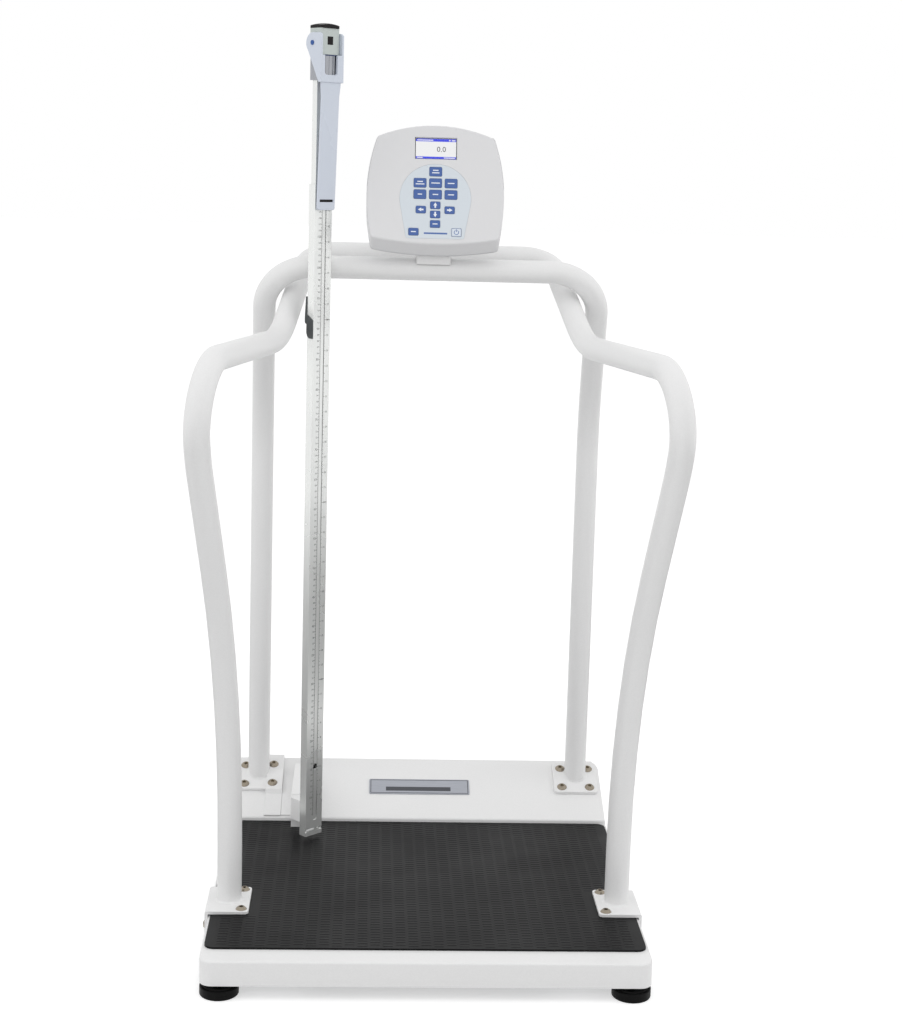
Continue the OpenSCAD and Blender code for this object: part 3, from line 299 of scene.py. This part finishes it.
def eased(node, *passes, merge=0.002):
    """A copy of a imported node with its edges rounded, which stands for that node. Each
    pass is a width in millimetres, a number of steps and a test of the edge's middle,
    in millimetres, that picks the edges it rounds. Points closer than merge join."""
    source = nodes[node]
    mesh = source.data.copy()
    normals = mesh.attributes.get("custom_normal")
    if normals:
        mesh.attributes.remove(normals)
    bm = bmesh.new()
    bm.from_mesh(mesh)
    bpy.data.meshes.remove(mesh)
    bmesh.ops.remove_doubles(bm, verts=bm.verts, dist=merge * MM)
    bmesh.ops.dissolve_limit(bm, angle_limit=math.radians(0.5), verts=bm.verts, edges=bm.edges,
                             use_dissolve_boundaries=False)
    to_base = BASE.inverted()
    for width, steps, test in passes:
        picked = [e for e in bm.edges if len(e.link_faces) == 2
                  and e.calc_face_angle(0) > math.radians(CREASE)
                  and test(to_base @ ((e.verts[0].co + e.verts[1].co) / 2))]
        bmesh.ops.bevel(bm, geom=picked, offset=width * MM, offset_type="OFFSET",
                        affect="EDGES", segments=steps, profile=0.5, material=-1,
                        clamp_overlap=False, loop_slide=True)
    return piece(node + "_shaped", bm, None, finish_of[node], source["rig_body"],
                 [node])


def anywhere(_):
    """Picks every sharp edge."""
    return True


def block(bm, size, centre, turn=None):
    """Adds a box of the given size, as one closed solid, and returns its corners."""
    place = Matrix.Translation(centre) @ (turn or Matrix()) @ Matrix.Diagonal((*size, 1))
    return bmesh.ops.create_cube(bm, size=1, matrix=place)["verts"]


def lathe(outline, steps=32):
    """Spins a closed outline of radius and height about Z."""
    bm = bmesh.new()
    spots = [bm.verts.new((r, 0, h)) for r, h in outline]
    rim = [bm.edges.new((a, b)) for a, b in zip(spots, spots[1:] + spots[:1])]
    bmesh.ops.spin(bm, geom=spots + rim, cent=(0, 0, 0), axis=(0, 0, 1), angle=FULL_TURN,
                   steps=steps, use_merge=True)
    return bm


def copies(pattern, places):
    """One bmesh with a copy of the pattern at each place. The pattern is used up."""
    mesh = bpy.data.meshes.new("pattern")
    pattern.to_mesh(mesh)
    pattern.free()
    bm = bmesh.new()
    for place in places:
        start = len(bm.verts)
        bm.from_mesh(mesh)
        bm.verts.ensure_lookup_table()
        bmesh.ops.transform(bm, matrix=place, verts=bm.verts[start:])
    bpy.data.meshes.remove(mesh)
    return bm


def tidy(bm):
    """Merges doubles and points every face outwards."""
    bmesh.ops.remove_doubles(bm, verts=bm.verts, dist=WELD)
    bmesh.ops.recalc_face_normals(bm, faces=bm.faces)
    return bm


def bent_tube(route, bends, radius, sides=40):
    """The skin of a bent tube: a ring is drawn out along each straight and spun round
    each bend of the route's corner points."""
    route = [Vector(p) for p in route]
    run = (route[1] - route[0]).normalized()
    turn = run.to_track_quat("Z", "Y").to_matrix().to_4x4()
    bm = bmesh.new()
    bmesh.ops.create_circle(bm, segments=sides, radius=radius,
                            matrix=Matrix.Translation(route[0]) @ turn)
    ring, here = list(bm.edges), route[0]
    for i in range(1, len(route)):
        last = i == len(route) - 1
        back = (route[i - 1] - route[i]).normalized()
        stop = route[i]
        if not last:
            on = (route[i + 1] - route[i]).normalized()
            half, bend = back.angle(on) / 2, bends[i - 1]
            stop = route[i] + back * bend / math.tan(half)
        drawn = bmesh.ops.extrude_edge_only(bm, edges=ring)["geom"]
        tip = {g for g in drawn if isinstance(g, bmesh.types.BMVert)}
        ring = [g for g in drawn if isinstance(g, bmesh.types.BMEdge) and set(g.verts) <= tip]
        bmesh.ops.translate(bm, verts=list(tip), vec=stop - here)
        here = stop
        if not last:
            centre = route[i] + (back + on).normalized() * bend / math.sin(half)
            sweep = math.pi - 2 * half
            axis = (here - centre).cross(-back).normalized()
            spun = bmesh.ops.spin(bm, geom=list(tip) + ring, cent=centre, axis=axis,
                                  angle=sweep, steps=max(4, round(math.degrees(sweep) / 4)))
            ring = [g for g in spun["geom_last"] if isinstance(g, bmesh.types.BMEdge)]
            here = route[i] + on * bend / math.tan(half)
    bmesh.ops.holes_fill(bm, edges=[e for e in bm.edges if e.is_boundary], sides=0)
    return bm


def lettering(text, size, place, pitch=1.0, thick=0.03):
    """Plain numerals as a flat bmesh in millimetres, each line centred under the other."""
    curve = bpy.data.curves.new("numerals", "FONT")
    curve.body, curve.size, curve.align_x = text, size, "CENTER"
    curve.space_line, curve.extrude, curve.resolution_u = pitch, thick / 2, 2
    carrier = bpy.data.objects.new("numerals", curve)
    scene.collection.objects.link(carrier)
    bpy.context.view_layer.update()
    mesh = bpy.data.meshes.new_from_object(
        carrier.evaluated_get(bpy.context.evaluated_depsgraph_get()))
    bm = bmesh.new()
    bm.from_mesh(mesh)
    bpy.data.objects.remove(carrier)
    bpy.data.curves.remove(curve)
    bpy.data.meshes.remove(mesh)
    bmesh.ops.remove_doubles(bm, verts=bm.verts, dist=WELD)
    bmesh.ops.transform(bm, matrix=place, verts=bm.verts)
    return bm


# Tubes, with the same corner points and bend radii as their solids
TUBE_R = 19
POST_X, POST_Y, BRACKET_TOP = 303.5, -352, 66
rail_route = [(POST_X, POST_Y, BRACKET_TOP), (POST_X, POST_Y, 396), (339, -533, 786),
              (342, -605, 931), (249, -126, 921), (210, 112, 1051), (0.4, 112, 1051)]
rail_bends = [1080, 700, 80, 200, 57]
for side, mirror in (("right", 1), ("left", -1)):
    bm = bent_tube([(x * mirror, y, z) for x, y, z in rail_route], rail_bends, TUBE_R)
    piece(f"handrail_{side}_tube", tidy(bm), BASE, powder_coat, "scale",
          [f"handrail_{side}"], crease=60)

FRAME_X, FRAME_Y, FRAME_CORNER = 286, 97.02, (278, -40, 1035)
half = [(FRAME_X, FRAME_Y, 60), (FRAME_X, FRAME_Y, 768), FRAME_CORNER]
frame_route = half + [(-x, y, z) for x, y, z in reversed(half)]
bm = bent_tube(frame_route, [291, 82, 82, 291], TUBE_R)
slope_normal = (SLOPE.to_3x3() @ Vector((0, 0, 1))).normalized()
slope_point = BASE.inverted() @ (SLOPE @ Vector((0, 0, 0.3)))
bmesh.ops.bisect_plane(bm, geom=bm.verts[:] + bm.edges[:] + bm.faces[:], plane_co=slope_point,
                       plane_no=slope_normal, clear_inner=True)
bmesh.ops.holes_fill(bm, edges=[e for e in bm.edges if e.is_boundary], sides=0)
piece("rear_frame_tube", tidy(bm), BASE, powder_coat, "scale",
      ["rear_frame"], crease=60)

# Painted-over weld beads where the posts stand on their brackets and flanges
bead = [(TUBE_R - 0.6, 0.02), (TUBE_R + 3.2, 0.02), (TUBE_R + 1.2, 0.9), (TUBE_R + 0.3, 2.8),
        (TUBE_R - 0.6, 3.2)]
bm = copies(lathe(bead, 40), [Matrix.Translation((POST_X * mirror, POST_Y, BRACKET_TOP))
                              for mirror in (1, -1)])
piece("rail_weld_beads", tidy(bm), BASE, powder_coat, "scale")
flange_top = 6
bead_s = (FRAME_Y + flange_top * math.sin(SLOPE_ANGLE)) / math.cos(SLOPE_ANGLE)
bm = copies(lathe(bead, 40), [Matrix.Translation((FRAME_X * mirror, bead_s, flange_top))
                              @ Matrix.Diagonal((1, 1 / math.cos(SLOPE_ANGLE), 1, 1))
                              for mirror in (1, -1)])
piece("frame_weld_beads", tidy(bm), SLOPE, powder_coat, "scale")

# Domed bolt heads with a hexagon socket
HEAD_R, HEAD_RISE = 8.75, 5.25
SOCKET_R, SOCKET_DEEP, SOCKET_RIM, RIM_DROP = 3.4, 2.6, 0.9, 0.25


def bolt_head():
    """A dome of rings, then a hexagonal rim bridged to the last ring and sunk in."""
    bm = bmesh.new()
    ball = (HEAD_R ** 2 + HEAD_RISE ** 2) / (2 * HEAD_RISE)
    widest = math.asin(HEAD_R / ball)
    around, rings = 24, 5
    rim = None
    narrowest = math.asin((SOCKET_R + SOCKET_RIM) / ball)
    for i in range(rings + 1):
        tilt = widest + (narrowest - widest) * i / rings
        spots = bmesh.ops.create_circle(
            bm, segments=around, radius=ball * math.sin(tilt),
            matrix=Matrix.Translation((0, 0, HEAD_RISE - ball + ball * math.cos(tilt))))["verts"]
        edges = list({e for v in spots for e in v.link_edges})
        if rim:
            bmesh.ops.bridge_loops(bm, edges=rim + edges)
        else:
            bmesh.ops.contextual_create(bm, geom=edges)
        rim = edges
        height = spots[0].co.z
    corners = bmesh.ops.create_circle(
        bm, segments=6, radius=SOCKET_R,
        matrix=Matrix.Translation((0, 0, height - RIM_DROP)))["verts"]
    sides = list({e for v in corners for e in v.link_edges})
    cut = bmesh.ops.subdivide_edges(bm, edges=sides, cuts=3)
    inner = [g for g in cut["geom"] if isinstance(g, bmesh.types.BMEdge)]
    bmesh.ops.bridge_loops(bm, edges=rim + inner)
    sunk = bmesh.ops.extrude_edge_only(bm, edges=inner)["geom"]
    floor = [g for g in sunk if isinstance(g, bmesh.types.BMVert)]
    bmesh.ops.translate(bm, verts=floor, vec=(0, 0, -SOCKET_DEEP))
    bmesh.ops.contextual_create(bm, geom=[g for g in sunk if isinstance(g, bmesh.types.BMEdge)
                                          and set(g.verts) <= set(floor)])
    return bm


# The left flange's two inner heads also hold the rod's strap, so they stand higher
STRAP = 3
places = []
for mirror in (1, -1):
    for across in (260, 310):
        for up in (76.5, 123.5):
            raised = STRAP if mirror < 0 and across == 260 else 0
            places.append(Matrix.Translation((across * mirror, up, flange_top + raised)))
bm = copies(bolt_head(), places)
piece("flange_bolt_heads", tidy(bm), SLOPE, stainless_steel, "scale",
      ["rear_flange_bolts"])
TOP_BOLT_X, TOP_BOLT_YS = 282.5, (-389, -315)
SIDE_BOLT_X, SIDE_BOLT_Y, SIDE_BOLT_Z = 337.8, -369, 32
places = []
for mirror in (1, -1):
    places += [Matrix.Translation((TOP_BOLT_X * mirror, y, BRACKET_TOP)) for y in TOP_BOLT_YS]
    places.append(Matrix.Translation((SIDE_BOLT_X * mirror, SIDE_BOLT_Y, SIDE_BOLT_Z))
                  @ Matrix.Rotation(RIGHT_ANGLE * mirror, 4, "Y"))
bm = copies(bolt_head(), places)
piece("bracket_bolt_heads", tidy(bm), BASE, stainless_steel, "scale",
      ["front_bracket_bolts"])

# Sheet metal with folded edges. Each test picks edges by where they lie: the shell's top
# rim and then its foot, the rim of the housing's slope, and the brackets' outer fold and
# then their other edges.
eased("platform_shell",
      (3.0, 4, lambda p: p.z > 57.9 and (abs(p.x) > 325 or p.y < -545)),
      (0.5, 2, lambda p: p.z < 21 and p.y < -1))
eased("rear_housing",
      (2.5, 4, lambda p: p.z > 66 and (abs(p.x) > 322 or p.y < 0.1 or p.y > 137)
       and abs(p.z - SLOPE_FOOT - p.y * math.tan(SLOPE_ANGLE)) < 0.7))
eased("rear_flanges", (1.0, 3, anywhere))
eased("front_brackets",
      (3.5, 4, lambda p: p.z > 65.9 and abs(p.x) > 337),
      (0.9, 3, lambda p: p.z > 60.9 and abs(p.x) < 337 or abs(p.x) > 337.7))
eased("rod_strap", (0.7, 2, anywhere))
eased("rod_bracket", (0.6, 2, anywhere))
eased("console_bracket", (1.5, 3, anywhere))
eased("name_plate", (0.4, 2, anywhere))

# Rod, head and headpiece
eased("ruled_mast", (0.5, 2, anywhere))
eased("inner_mast", (0.5, 2, anywhere))
eased("mast_latch", (0.4, 2, anywhere))
eased("head_block", (0.9, 3, anywhere))
eased("headpiece", (0.9, 3, anywhere))

# Console shells and keys
eased("console_front",
      (2.4, 4, lambda p: abs(p.x) > 72 or p.z > 1254 or p.z < 1086), merge=0.3)
# The screw holes break the back's rim, so its sides stay sharp
eased("console_back", (0.8, 3, lambda p: p.y > -72 and abs(p.x) < 74))
eased("battery_door", (0.5, 2, anywhere))
for key in FINISHES[blue_rubber] + FINISHES[pale_rubber]:
    eased(key, (0.45, 3, anywhere))


# Printed ruling on the mast: centimetres on the left, inches on the right
RULE_ZERO, RULE_LOW, RULE_HIGH, INK = 36.5, 104, 1168, 0.06
CM_EDGE, INCH_EDGE, HALF_NUMERAL = 15.3, 23.9, 0.35
UPRIGHT = Matrix.Rotation(RIGHT_ANGLE, 4, "X")


def rule_ticks(bm, step, reach, edge, side, thick):
    """Adds a tick at every step above the rule's zero, from an edge towards one side."""
    first = math.ceil((RULE_LOW - RULE_ZERO) / step)
    last = math.floor((RULE_HIGH - RULE_ZERO) / step)
    for i in range(first, last + 1):
        block(bm, (reach, INK, thick), (edge + side * reach / 2, 0, RULE_ZERO + i * step))


def rule_numbers(values, step, centre, size, name):
    """One column of numbers, each centred on its own height; None leaves a gap."""
    lines = ["" if v is None else str(v) for v in values]
    top = RULE_ZERO + len(values) * step
    place = Matrix.Translation((centre, 0, top - size * HALF_NUMERAL)) @ UPRIGHT
    bm = lettering("\n".join(lines), size, place, pitch=step / size, thick=INK)
    piece(name, bm, MAST, black_ink, "scale", crease=30, even=False)


CM, INCH = 10, 25.4
bm = bmesh.new()
rule_ticks(bm, CM / 10, 1.2, CM_EDGE, -1, 0.25)
rule_ticks(bm, CM / 2, 1.8, CM_EDGE, -1, 0.35)
rule_ticks(bm, CM, 2.6, CM_EDGE, -1, 0.5)
rule_ticks(bm, INCH / 4, 1.3, INCH_EDGE, 1, 0.3)
rule_ticks(bm, INCH / 2, 2.0, INCH_EDGE, 1, 0.4)
rule_ticks(bm, INCH, 2.8, INCH_EDGE, 1, 0.5)
for foot in (1, 2, 3):
    block(bm, (10, INK, 0.8), (30, 0, RULE_ZERO + 12 * INCH * foot))
for edge in (15.5, 23.5):
    block(bm, (0.35, INK, RULE_HIGH - RULE_LOW), (edge, 0, (RULE_HIGH + RULE_LOW) / 2))
piece("rule_marks", bm, MAST, black_ink, "scale", even=False)
# The rule is printed from just above the foot cap, so its lowest numbers are left out
lowest_cm, lowest_inch = 8, 4
rule_numbers([v if v % 5 and v >= lowest_cm else None for v in range(113, 0, -1)], CM, 10.5, 3.9,
             "rule_cm_numbers")
rule_numbers([v if v >= lowest_cm else None for v in range(110, 0, -5)], CM * 5, 9.8, 5.6,
             "rule_cm_fives")
rule_numbers([v if v >= lowest_inch else None for v in range(44, 0, -1)], INCH, 30, 4.6,
             "rule_inch_numbers")

# Navy band between the head block and its sleeve
bm = bmesh.new()
block(bm, (29, 0.7, 1.6), (20.5, -9.95, 1375.4))
piece("head_navy_band", bm, MAST, navy_band, "slider")

# Black insert in the grip slot near the headpiece's tip
SLOT_X, SLOT_Y, SLOT_Z = 18, -4.3, 1144.5
bm = bmesh.new()
block(bm, (27.9, 2.4, 3.9), (SLOT_X, SLOT_Y, SLOT_Z))
piece("headpiece_insert", bm, MAST, black_plastic, "headpiece")

# What the display shows: two blue bars with blank white fields, a nought reading and a
# dark edge. Its middle is SCREEN_V up the console's face and its marks lie SCREEN_N out.
SCREEN_W, SCREEN_V, SCREEN_N, EDGE_N = 66, 77.5, -3.16, -2.99
bm = bmesh.new()
block(bm, (SCREEN_W, 4.6, INK), (0, SCREEN_V + 14.7, SCREEN_N))
block(bm, (SCREEN_W, 3.7, INK), (0, SCREEN_V - 15.2, SCREEN_N))
piece("screen_bars", bm, FACE, screen_blue, "scale", even=False)
bm = bmesh.new()
for start, end, v, tall in ((0.03, 0.43, 14.6, 1.5), (0.82, 0.86, 14.6, 1.8),
                            (0.89, 0.98, 14.6, 1.8), (0.03, 0.17, -15.2, 1.4),
                            (0.70, 0.97, -15.2, 1.4)):
    middle = ((start + end) / 2 - 0.5) * SCREEN_W
    block(bm, ((end - start) * SCREEN_W, tall, INK), (middle, SCREEN_V + v, SCREEN_N + INK / 2))
piece("screen_fields", bm, FACE, screen_white, "scale", even=False)
bm = lettering("0.0", 12.8, Matrix.Translation((8.9, SCREEN_V - 4.9, SCREEN_N)), thick=INK)
piece("screen_reading", bm, FACE, screen_ink, "scale", even=False)
bm = bmesh.new()
for side in (1, -1):
    block(bm, (69.1, 1.3, INK), (0, SCREEN_V + side * 17.75, EDGE_N))
    block(bm, (1.4, 36.8, INK), (side * 33.85, SCREEN_V, EDGE_N))
piece("screen_edge", bm, FACE, dark_ink, "scale", even=False)

# Marks on the keys, each riding on its own key: bars for words, arrows, a power sign
KEY_TOP, LINE_PITCH = 0.6, 4.2


def key_bars(key, u, v, lines):
    """Short bars of the given lengths, where a key's words would be."""
    bm = bmesh.new()
    for i, reach in enumerate(lines):
        rise = ((len(lines) - 1) / 2 - i) * LINE_PITCH
        block(bm, (reach, 1.7, INK), (u, v + rise, KEY_TOP))
    piece(key + "_mark", bm, FACE, white_ink, key, even=False)


def key_arrow(key, u, v, turn):
    """A plain arrow that points up before its turn."""
    bm = bmesh.new()
    bmesh.ops.create_cone(bm, segments=3, radius1=3.6, radius2=3.6, depth=INK, cap_ends=True,
                          matrix=Matrix.Translation((0, 1.2, 0)))
    block(bm, (2.6, 4, INK * 0.9), (0, -2.4, 0))
    place = Matrix.Translation((u, v, KEY_TOP)) @ Matrix.Rotation(turn, 4, "Z")
    bmesh.ops.transform(bm, matrix=place, verts=bm.verts)
    piece(key + "_mark", bm, FACE, white_ink, key, even=False)


for key, u, v, lines in (("key_menu", 0, 37.7, (9, 12)), ("key_left_top", -25.4, 18.2, (9, 14)),
                         ("key_mid_top", 0, 18.2, (14,)), ("key_right_top", 25.4, 18.2, (11,)),
                         ("key_left_low", -25.4, -1.1, (7,)), ("key_mid_low", 0, -1.1, (9,)),
                         ("key_right_low", 25.4, -1.1, (10,)), ("key_help", 0, -50.8, (8,)),
                         ("key_units", -35, -64.5, (8,))):
    key_bars(key, u, v, lines)
for key, u, v, turn in (("key_up", 0, -19.2, 0), ("key_left", -23.5, -27, RIGHT_ANGLE),
                        ("key_right", 23.5, -27, -RIGHT_ANGLE),
                        ("key_down", 0, -34.7, 2 * RIGHT_ANGLE)):
    key_arrow(key, u, v, turn)

# The power sign is a ring that is open at its top, with a bar in the gap and a thin frame
POWER_U, POWER_V, RING_IN, RING_OUT, RING_GAP = 35, -64.2, 3.1, 4.1, math.radians(56)
bm = bmesh.new()
bm.faces.new([bm.verts.new(spot) for spot in ((RING_IN, 0, -INK / 2), (RING_OUT, 0, -INK / 2),
                                              (RING_OUT, 0, INK / 2), (RING_IN, 0, INK / 2))])
bmesh.ops.rotate(bm, verts=bm.verts, matrix=Matrix.Rotation(RIGHT_ANGLE + RING_GAP / 2, 3, "Z"))
bmesh.ops.spin(bm, geom=bm.verts[:] + bm.edges[:] + bm.faces[:], cent=(0, 0, 0), axis=(0, 0, 1),
               angle=FULL_TURN - RING_GAP, steps=28)
block(bm, (1.1, 4.4, INK), (0, 3, 0))
for side in (1, -1):
    block(bm, (15.0, 0.5, INK), (0, side * 6.3, 0))
    block(bm, (0.5, 12.6, INK), (side * 7.5, 0, 0))
bmesh.ops.transform(bm, matrix=Matrix.Translation((POWER_U, POWER_V, KEY_TOP)), verts=bm.verts)
piece("key_power_mark", bm, FACE, blue_ink, "key_power", even=False)

# Plain line on the keypad sheet, and a dark frame and band on the bare name plate
bm = bmesh.new()
block(bm, (38, 2.8, INK), (1, -66.5, 0))
piece("keypad_line", bm, FACE, blue_ink, "scale", even=False)
bm = bmesh.new()
PLATE_X, PLATE_S, PLATE_TOP, PLATE_LINE = 3, 78, 1.5, 1.3
for side in (1, -1):
    block(bm, (175, PLATE_LINE, INK), (PLATE_X, PLATE_S + side * 16, PLATE_TOP))
    block(bm, (PLATE_LINE, 33, INK), (PLATE_X + side * 87, PLATE_S, PLATE_TOP))
block(bm, (116, 10, INK), (PLATE_X - 2, PLATE_S - 6, PLATE_TOP))
piece("plate_frame", bm, SLOPE, dark_ink, "scale", even=False)

# Raised grip bars of the mat, in staggered columns, clear of the brackets. Each is sunk a
# little into the mat and narrows to its top.
BAR_L, BAR_W, BAR_H, BAR_SUNK, PITCH_X, PITCH_Y = 15.4, 5.2, 0.3, 0.4, 19, 9
MAT_TOP, BRACKET_IN, BRACKET_FRONT, BRACKET_BACK = 61, 268, -404, -300
pattern = bmesh.new()
for vert in block(pattern, (BAR_L, BAR_W, BAR_H + BAR_SUNK), (0, 0, (BAR_H - BAR_SUNK) / 2)):
    if vert.co.z > 0:
        vert.co.x *= 0.92
        vert.co.y *= 0.6
places = []
for column in range(-16, 17):
    for row in range(56):
        x = column * PITCH_X
        y = -8 - row * PITCH_Y - (column % 2) * PITCH_Y / 2
        by_bracket = BRACKET_FRONT < y < BRACKET_BACK and abs(x) + BAR_L / 2 > BRACKET_IN
        if not by_bracket:
            places.append(Matrix.Translation((x, y, MAT_TOP)))
bm = copies(pattern, places)
piece("mat_grip_bars", bm, BASE, mat_rubber, "scale")

# Transport wheels: a rounded tread and a hub set in between two rims
wheel_outline = [(4.05, -10.5), (8, -10.5), (9, -8.5), (21, -8.5), (22.5, -11), (28, -11),
                 (29.4, -10.4), (30, -9), (30, 9), (29.4, 10.4), (28, 11), (22.5, 11), (21, 8.5),
                 (9, 8.5), (8, 10.5), (4.05, 10.5)]
WHEEL_X, WHEEL_Y, WHEEL_Z = 115, 112, 33
for side, mirror in (("right", 1), ("left", -1)):
    bm = lathe(wheel_outline, 48)
    place = (Matrix.Translation((WHEEL_X * mirror, WHEEL_Y, WHEEL_Z))
             @ Matrix.Rotation(RIGHT_ANGLE, 4, "Y"))
    bmesh.ops.transform(bm, matrix=place, verts=bm.verts)
    piece(f"wheel_{side}_shaped", tidy(bm), BASE, tyre_rubber, f"wheel_{side}",
          [f"wheel_{side}"])

# Camera where the photograph was taken from
LONG_SIDE, FOCAL, CENTRE_ROW = 1024, 1797.58, 432.917
CAMERA_PLACE = (-0.1025, -2.81302, 1.2122)
lens = bpy.data.cameras.new("photo_camera")
lens.sensor_width = 36
lens.lens = FOCAL / LONG_SIDE * lens.sensor_width
lens.shift_y = (CENTRE_ROW - LONG_SIDE / 2) / LONG_SIDE
lens.clip_end = 200
camera = bpy.data.objects.new("photo_camera", lens)
right = Vector((0.99871164, -0.04300048, 0.02694476))
ahead = Vector((0.04654768, 0.98774399, -0.1489803))
turn = Matrix((right, right.cross(ahead), -ahead)).transposed().to_4x4()
camera.matrix_world = Matrix.Translation(CAMERA_PLACE) @ turn
scene.collection.objects.link(camera)
scene.camera = camera


# Light: a bright room, broad lamps above, in front and at the sides, and a white floor
# that keeps the shadow

def seen_directly(tree):
    """One for rays from the camera, off a shiny face or through a clear one, else nought."""
    path = add(tree, "LightPath")
    seen = add(tree, "Math", {0: path.outputs["Is Camera Ray"], 1: path.outputs["Is Glossy Ray"]},
               operation="MAXIMUM")
    seen = add(tree, "Math", {0: seen.outputs[0], 1: path.outputs["Is Transmission Ray"]},
               operation="MAXIMUM")
    return seen.outputs[0]


world = bpy.data.worlds.new("white_studio")
world.use_nodes = True
scene.world = world
tree = world.node_tree
ROOM_LIGHT = 0.79
level = add(tree, "MapRange", {"Value": seen_directly(tree), "To Min": ROOM_LIGHT, "To Max": 1.0})
tree.links.new(level.outputs["Result"], tree.nodes["Background"].inputs["Strength"])
tree.nodes["Background"].inputs["Color"].default_value = srgb("#ffffff")


def lamp(name, size, power, place, aim):
    """A soft square lamp that neither the camera nor the shiny faces see."""
    light = bpy.data.lights.new(name, "AREA")
    light.shape, light.size, light.energy = "SQUARE", size, power
    made = bpy.data.objects.new(name, light)
    made.location = place
    made.rotation_euler = (Vector(aim) - Vector(place)).to_track_quat("-Z", "Y").to_euler()
    made.visible_camera = made.visible_glossy = False
    scene.collection.objects.link(made)


lamp("overhead_lamp", 2.4, 9, (0.3, -0.6, 3.4), (0, 0, 0.2))
lamp("front_lamp", 1.2, 6, (0, -2.6, 1.6), (0, 0, 0.9))
lamp("left_lamp", 1.6, 15, (-3.0, -0.9, 1.9), (0, 0, 0.7))
lamp("right_lamp", 1.6, 12, (3.0, -0.2, 1.9), (0, 0, 0.7))


def flat(name, place, size, material):
    """A level sheet of the studio, which isn't part of the object."""
    bm = bmesh.new()
    bmesh.ops.create_grid(bm, x_segments=1, y_segments=1, size=0.5,
                          matrix=Matrix.Translation(place) @ Matrix.Diagonal((*size, 1, 1)))
    mesh = bpy.data.meshes.new(name)
    bm.to_mesh(mesh)
    bm.free()
    mesh.materials.append(material)
    made = bpy.data.objects.new(name, mesh)
    scene.collection.objects.link(made)
    return made


paper, tree, shader = blank("white_paper_floor")
shader.inputs["Base Color"].default_value = srgb("#dcdcdc")
shader.inputs["Roughness"].default_value = 0.9
shader.inputs["Emission Color"].default_value = srgb("#ffffff")
FLOOR_GLOW = 0.5
glow = add(tree, "MapRange", {"Value": seen_directly(tree), "To Min": 0.0, "To Max": FLOOR_GLOW})
tree.links.new(glow.outputs["Result"], shader.inputs["Emission Strength"])
flat("floor", (0, 0, 0), (60, 60), paper)


def card(name, code, place, size):
    """A plain grey sheet that only reflections see: painted shade, standing in for the studio
    floor's dimmer stretch beside the object as bare metal mirrors it.
    """
    shade_tone, _, shader = blank(name)
    shader.inputs["Base Color"].default_value = srgb(code)
    shader.inputs["Roughness"].default_value = 1.0
    made = flat(name, place, size, shade_tone)
    made.visible_camera = made.visible_diffuse = made.visible_shadow = False
    made.visible_transmission = False


# Painted shade: grey sheets on the floor, darker on the right, for the less lit floor that the
# mast reflects
card("right_floor_shade_card", "#3a3a3a", (1.7, -0.3, 0.004), (1.8, 4))
card("left_floor_shade_card", "#747474", (-1.55, -0.3, 0.004), (2.1, 4))

scene.view_settings.view_transform = "Standard"
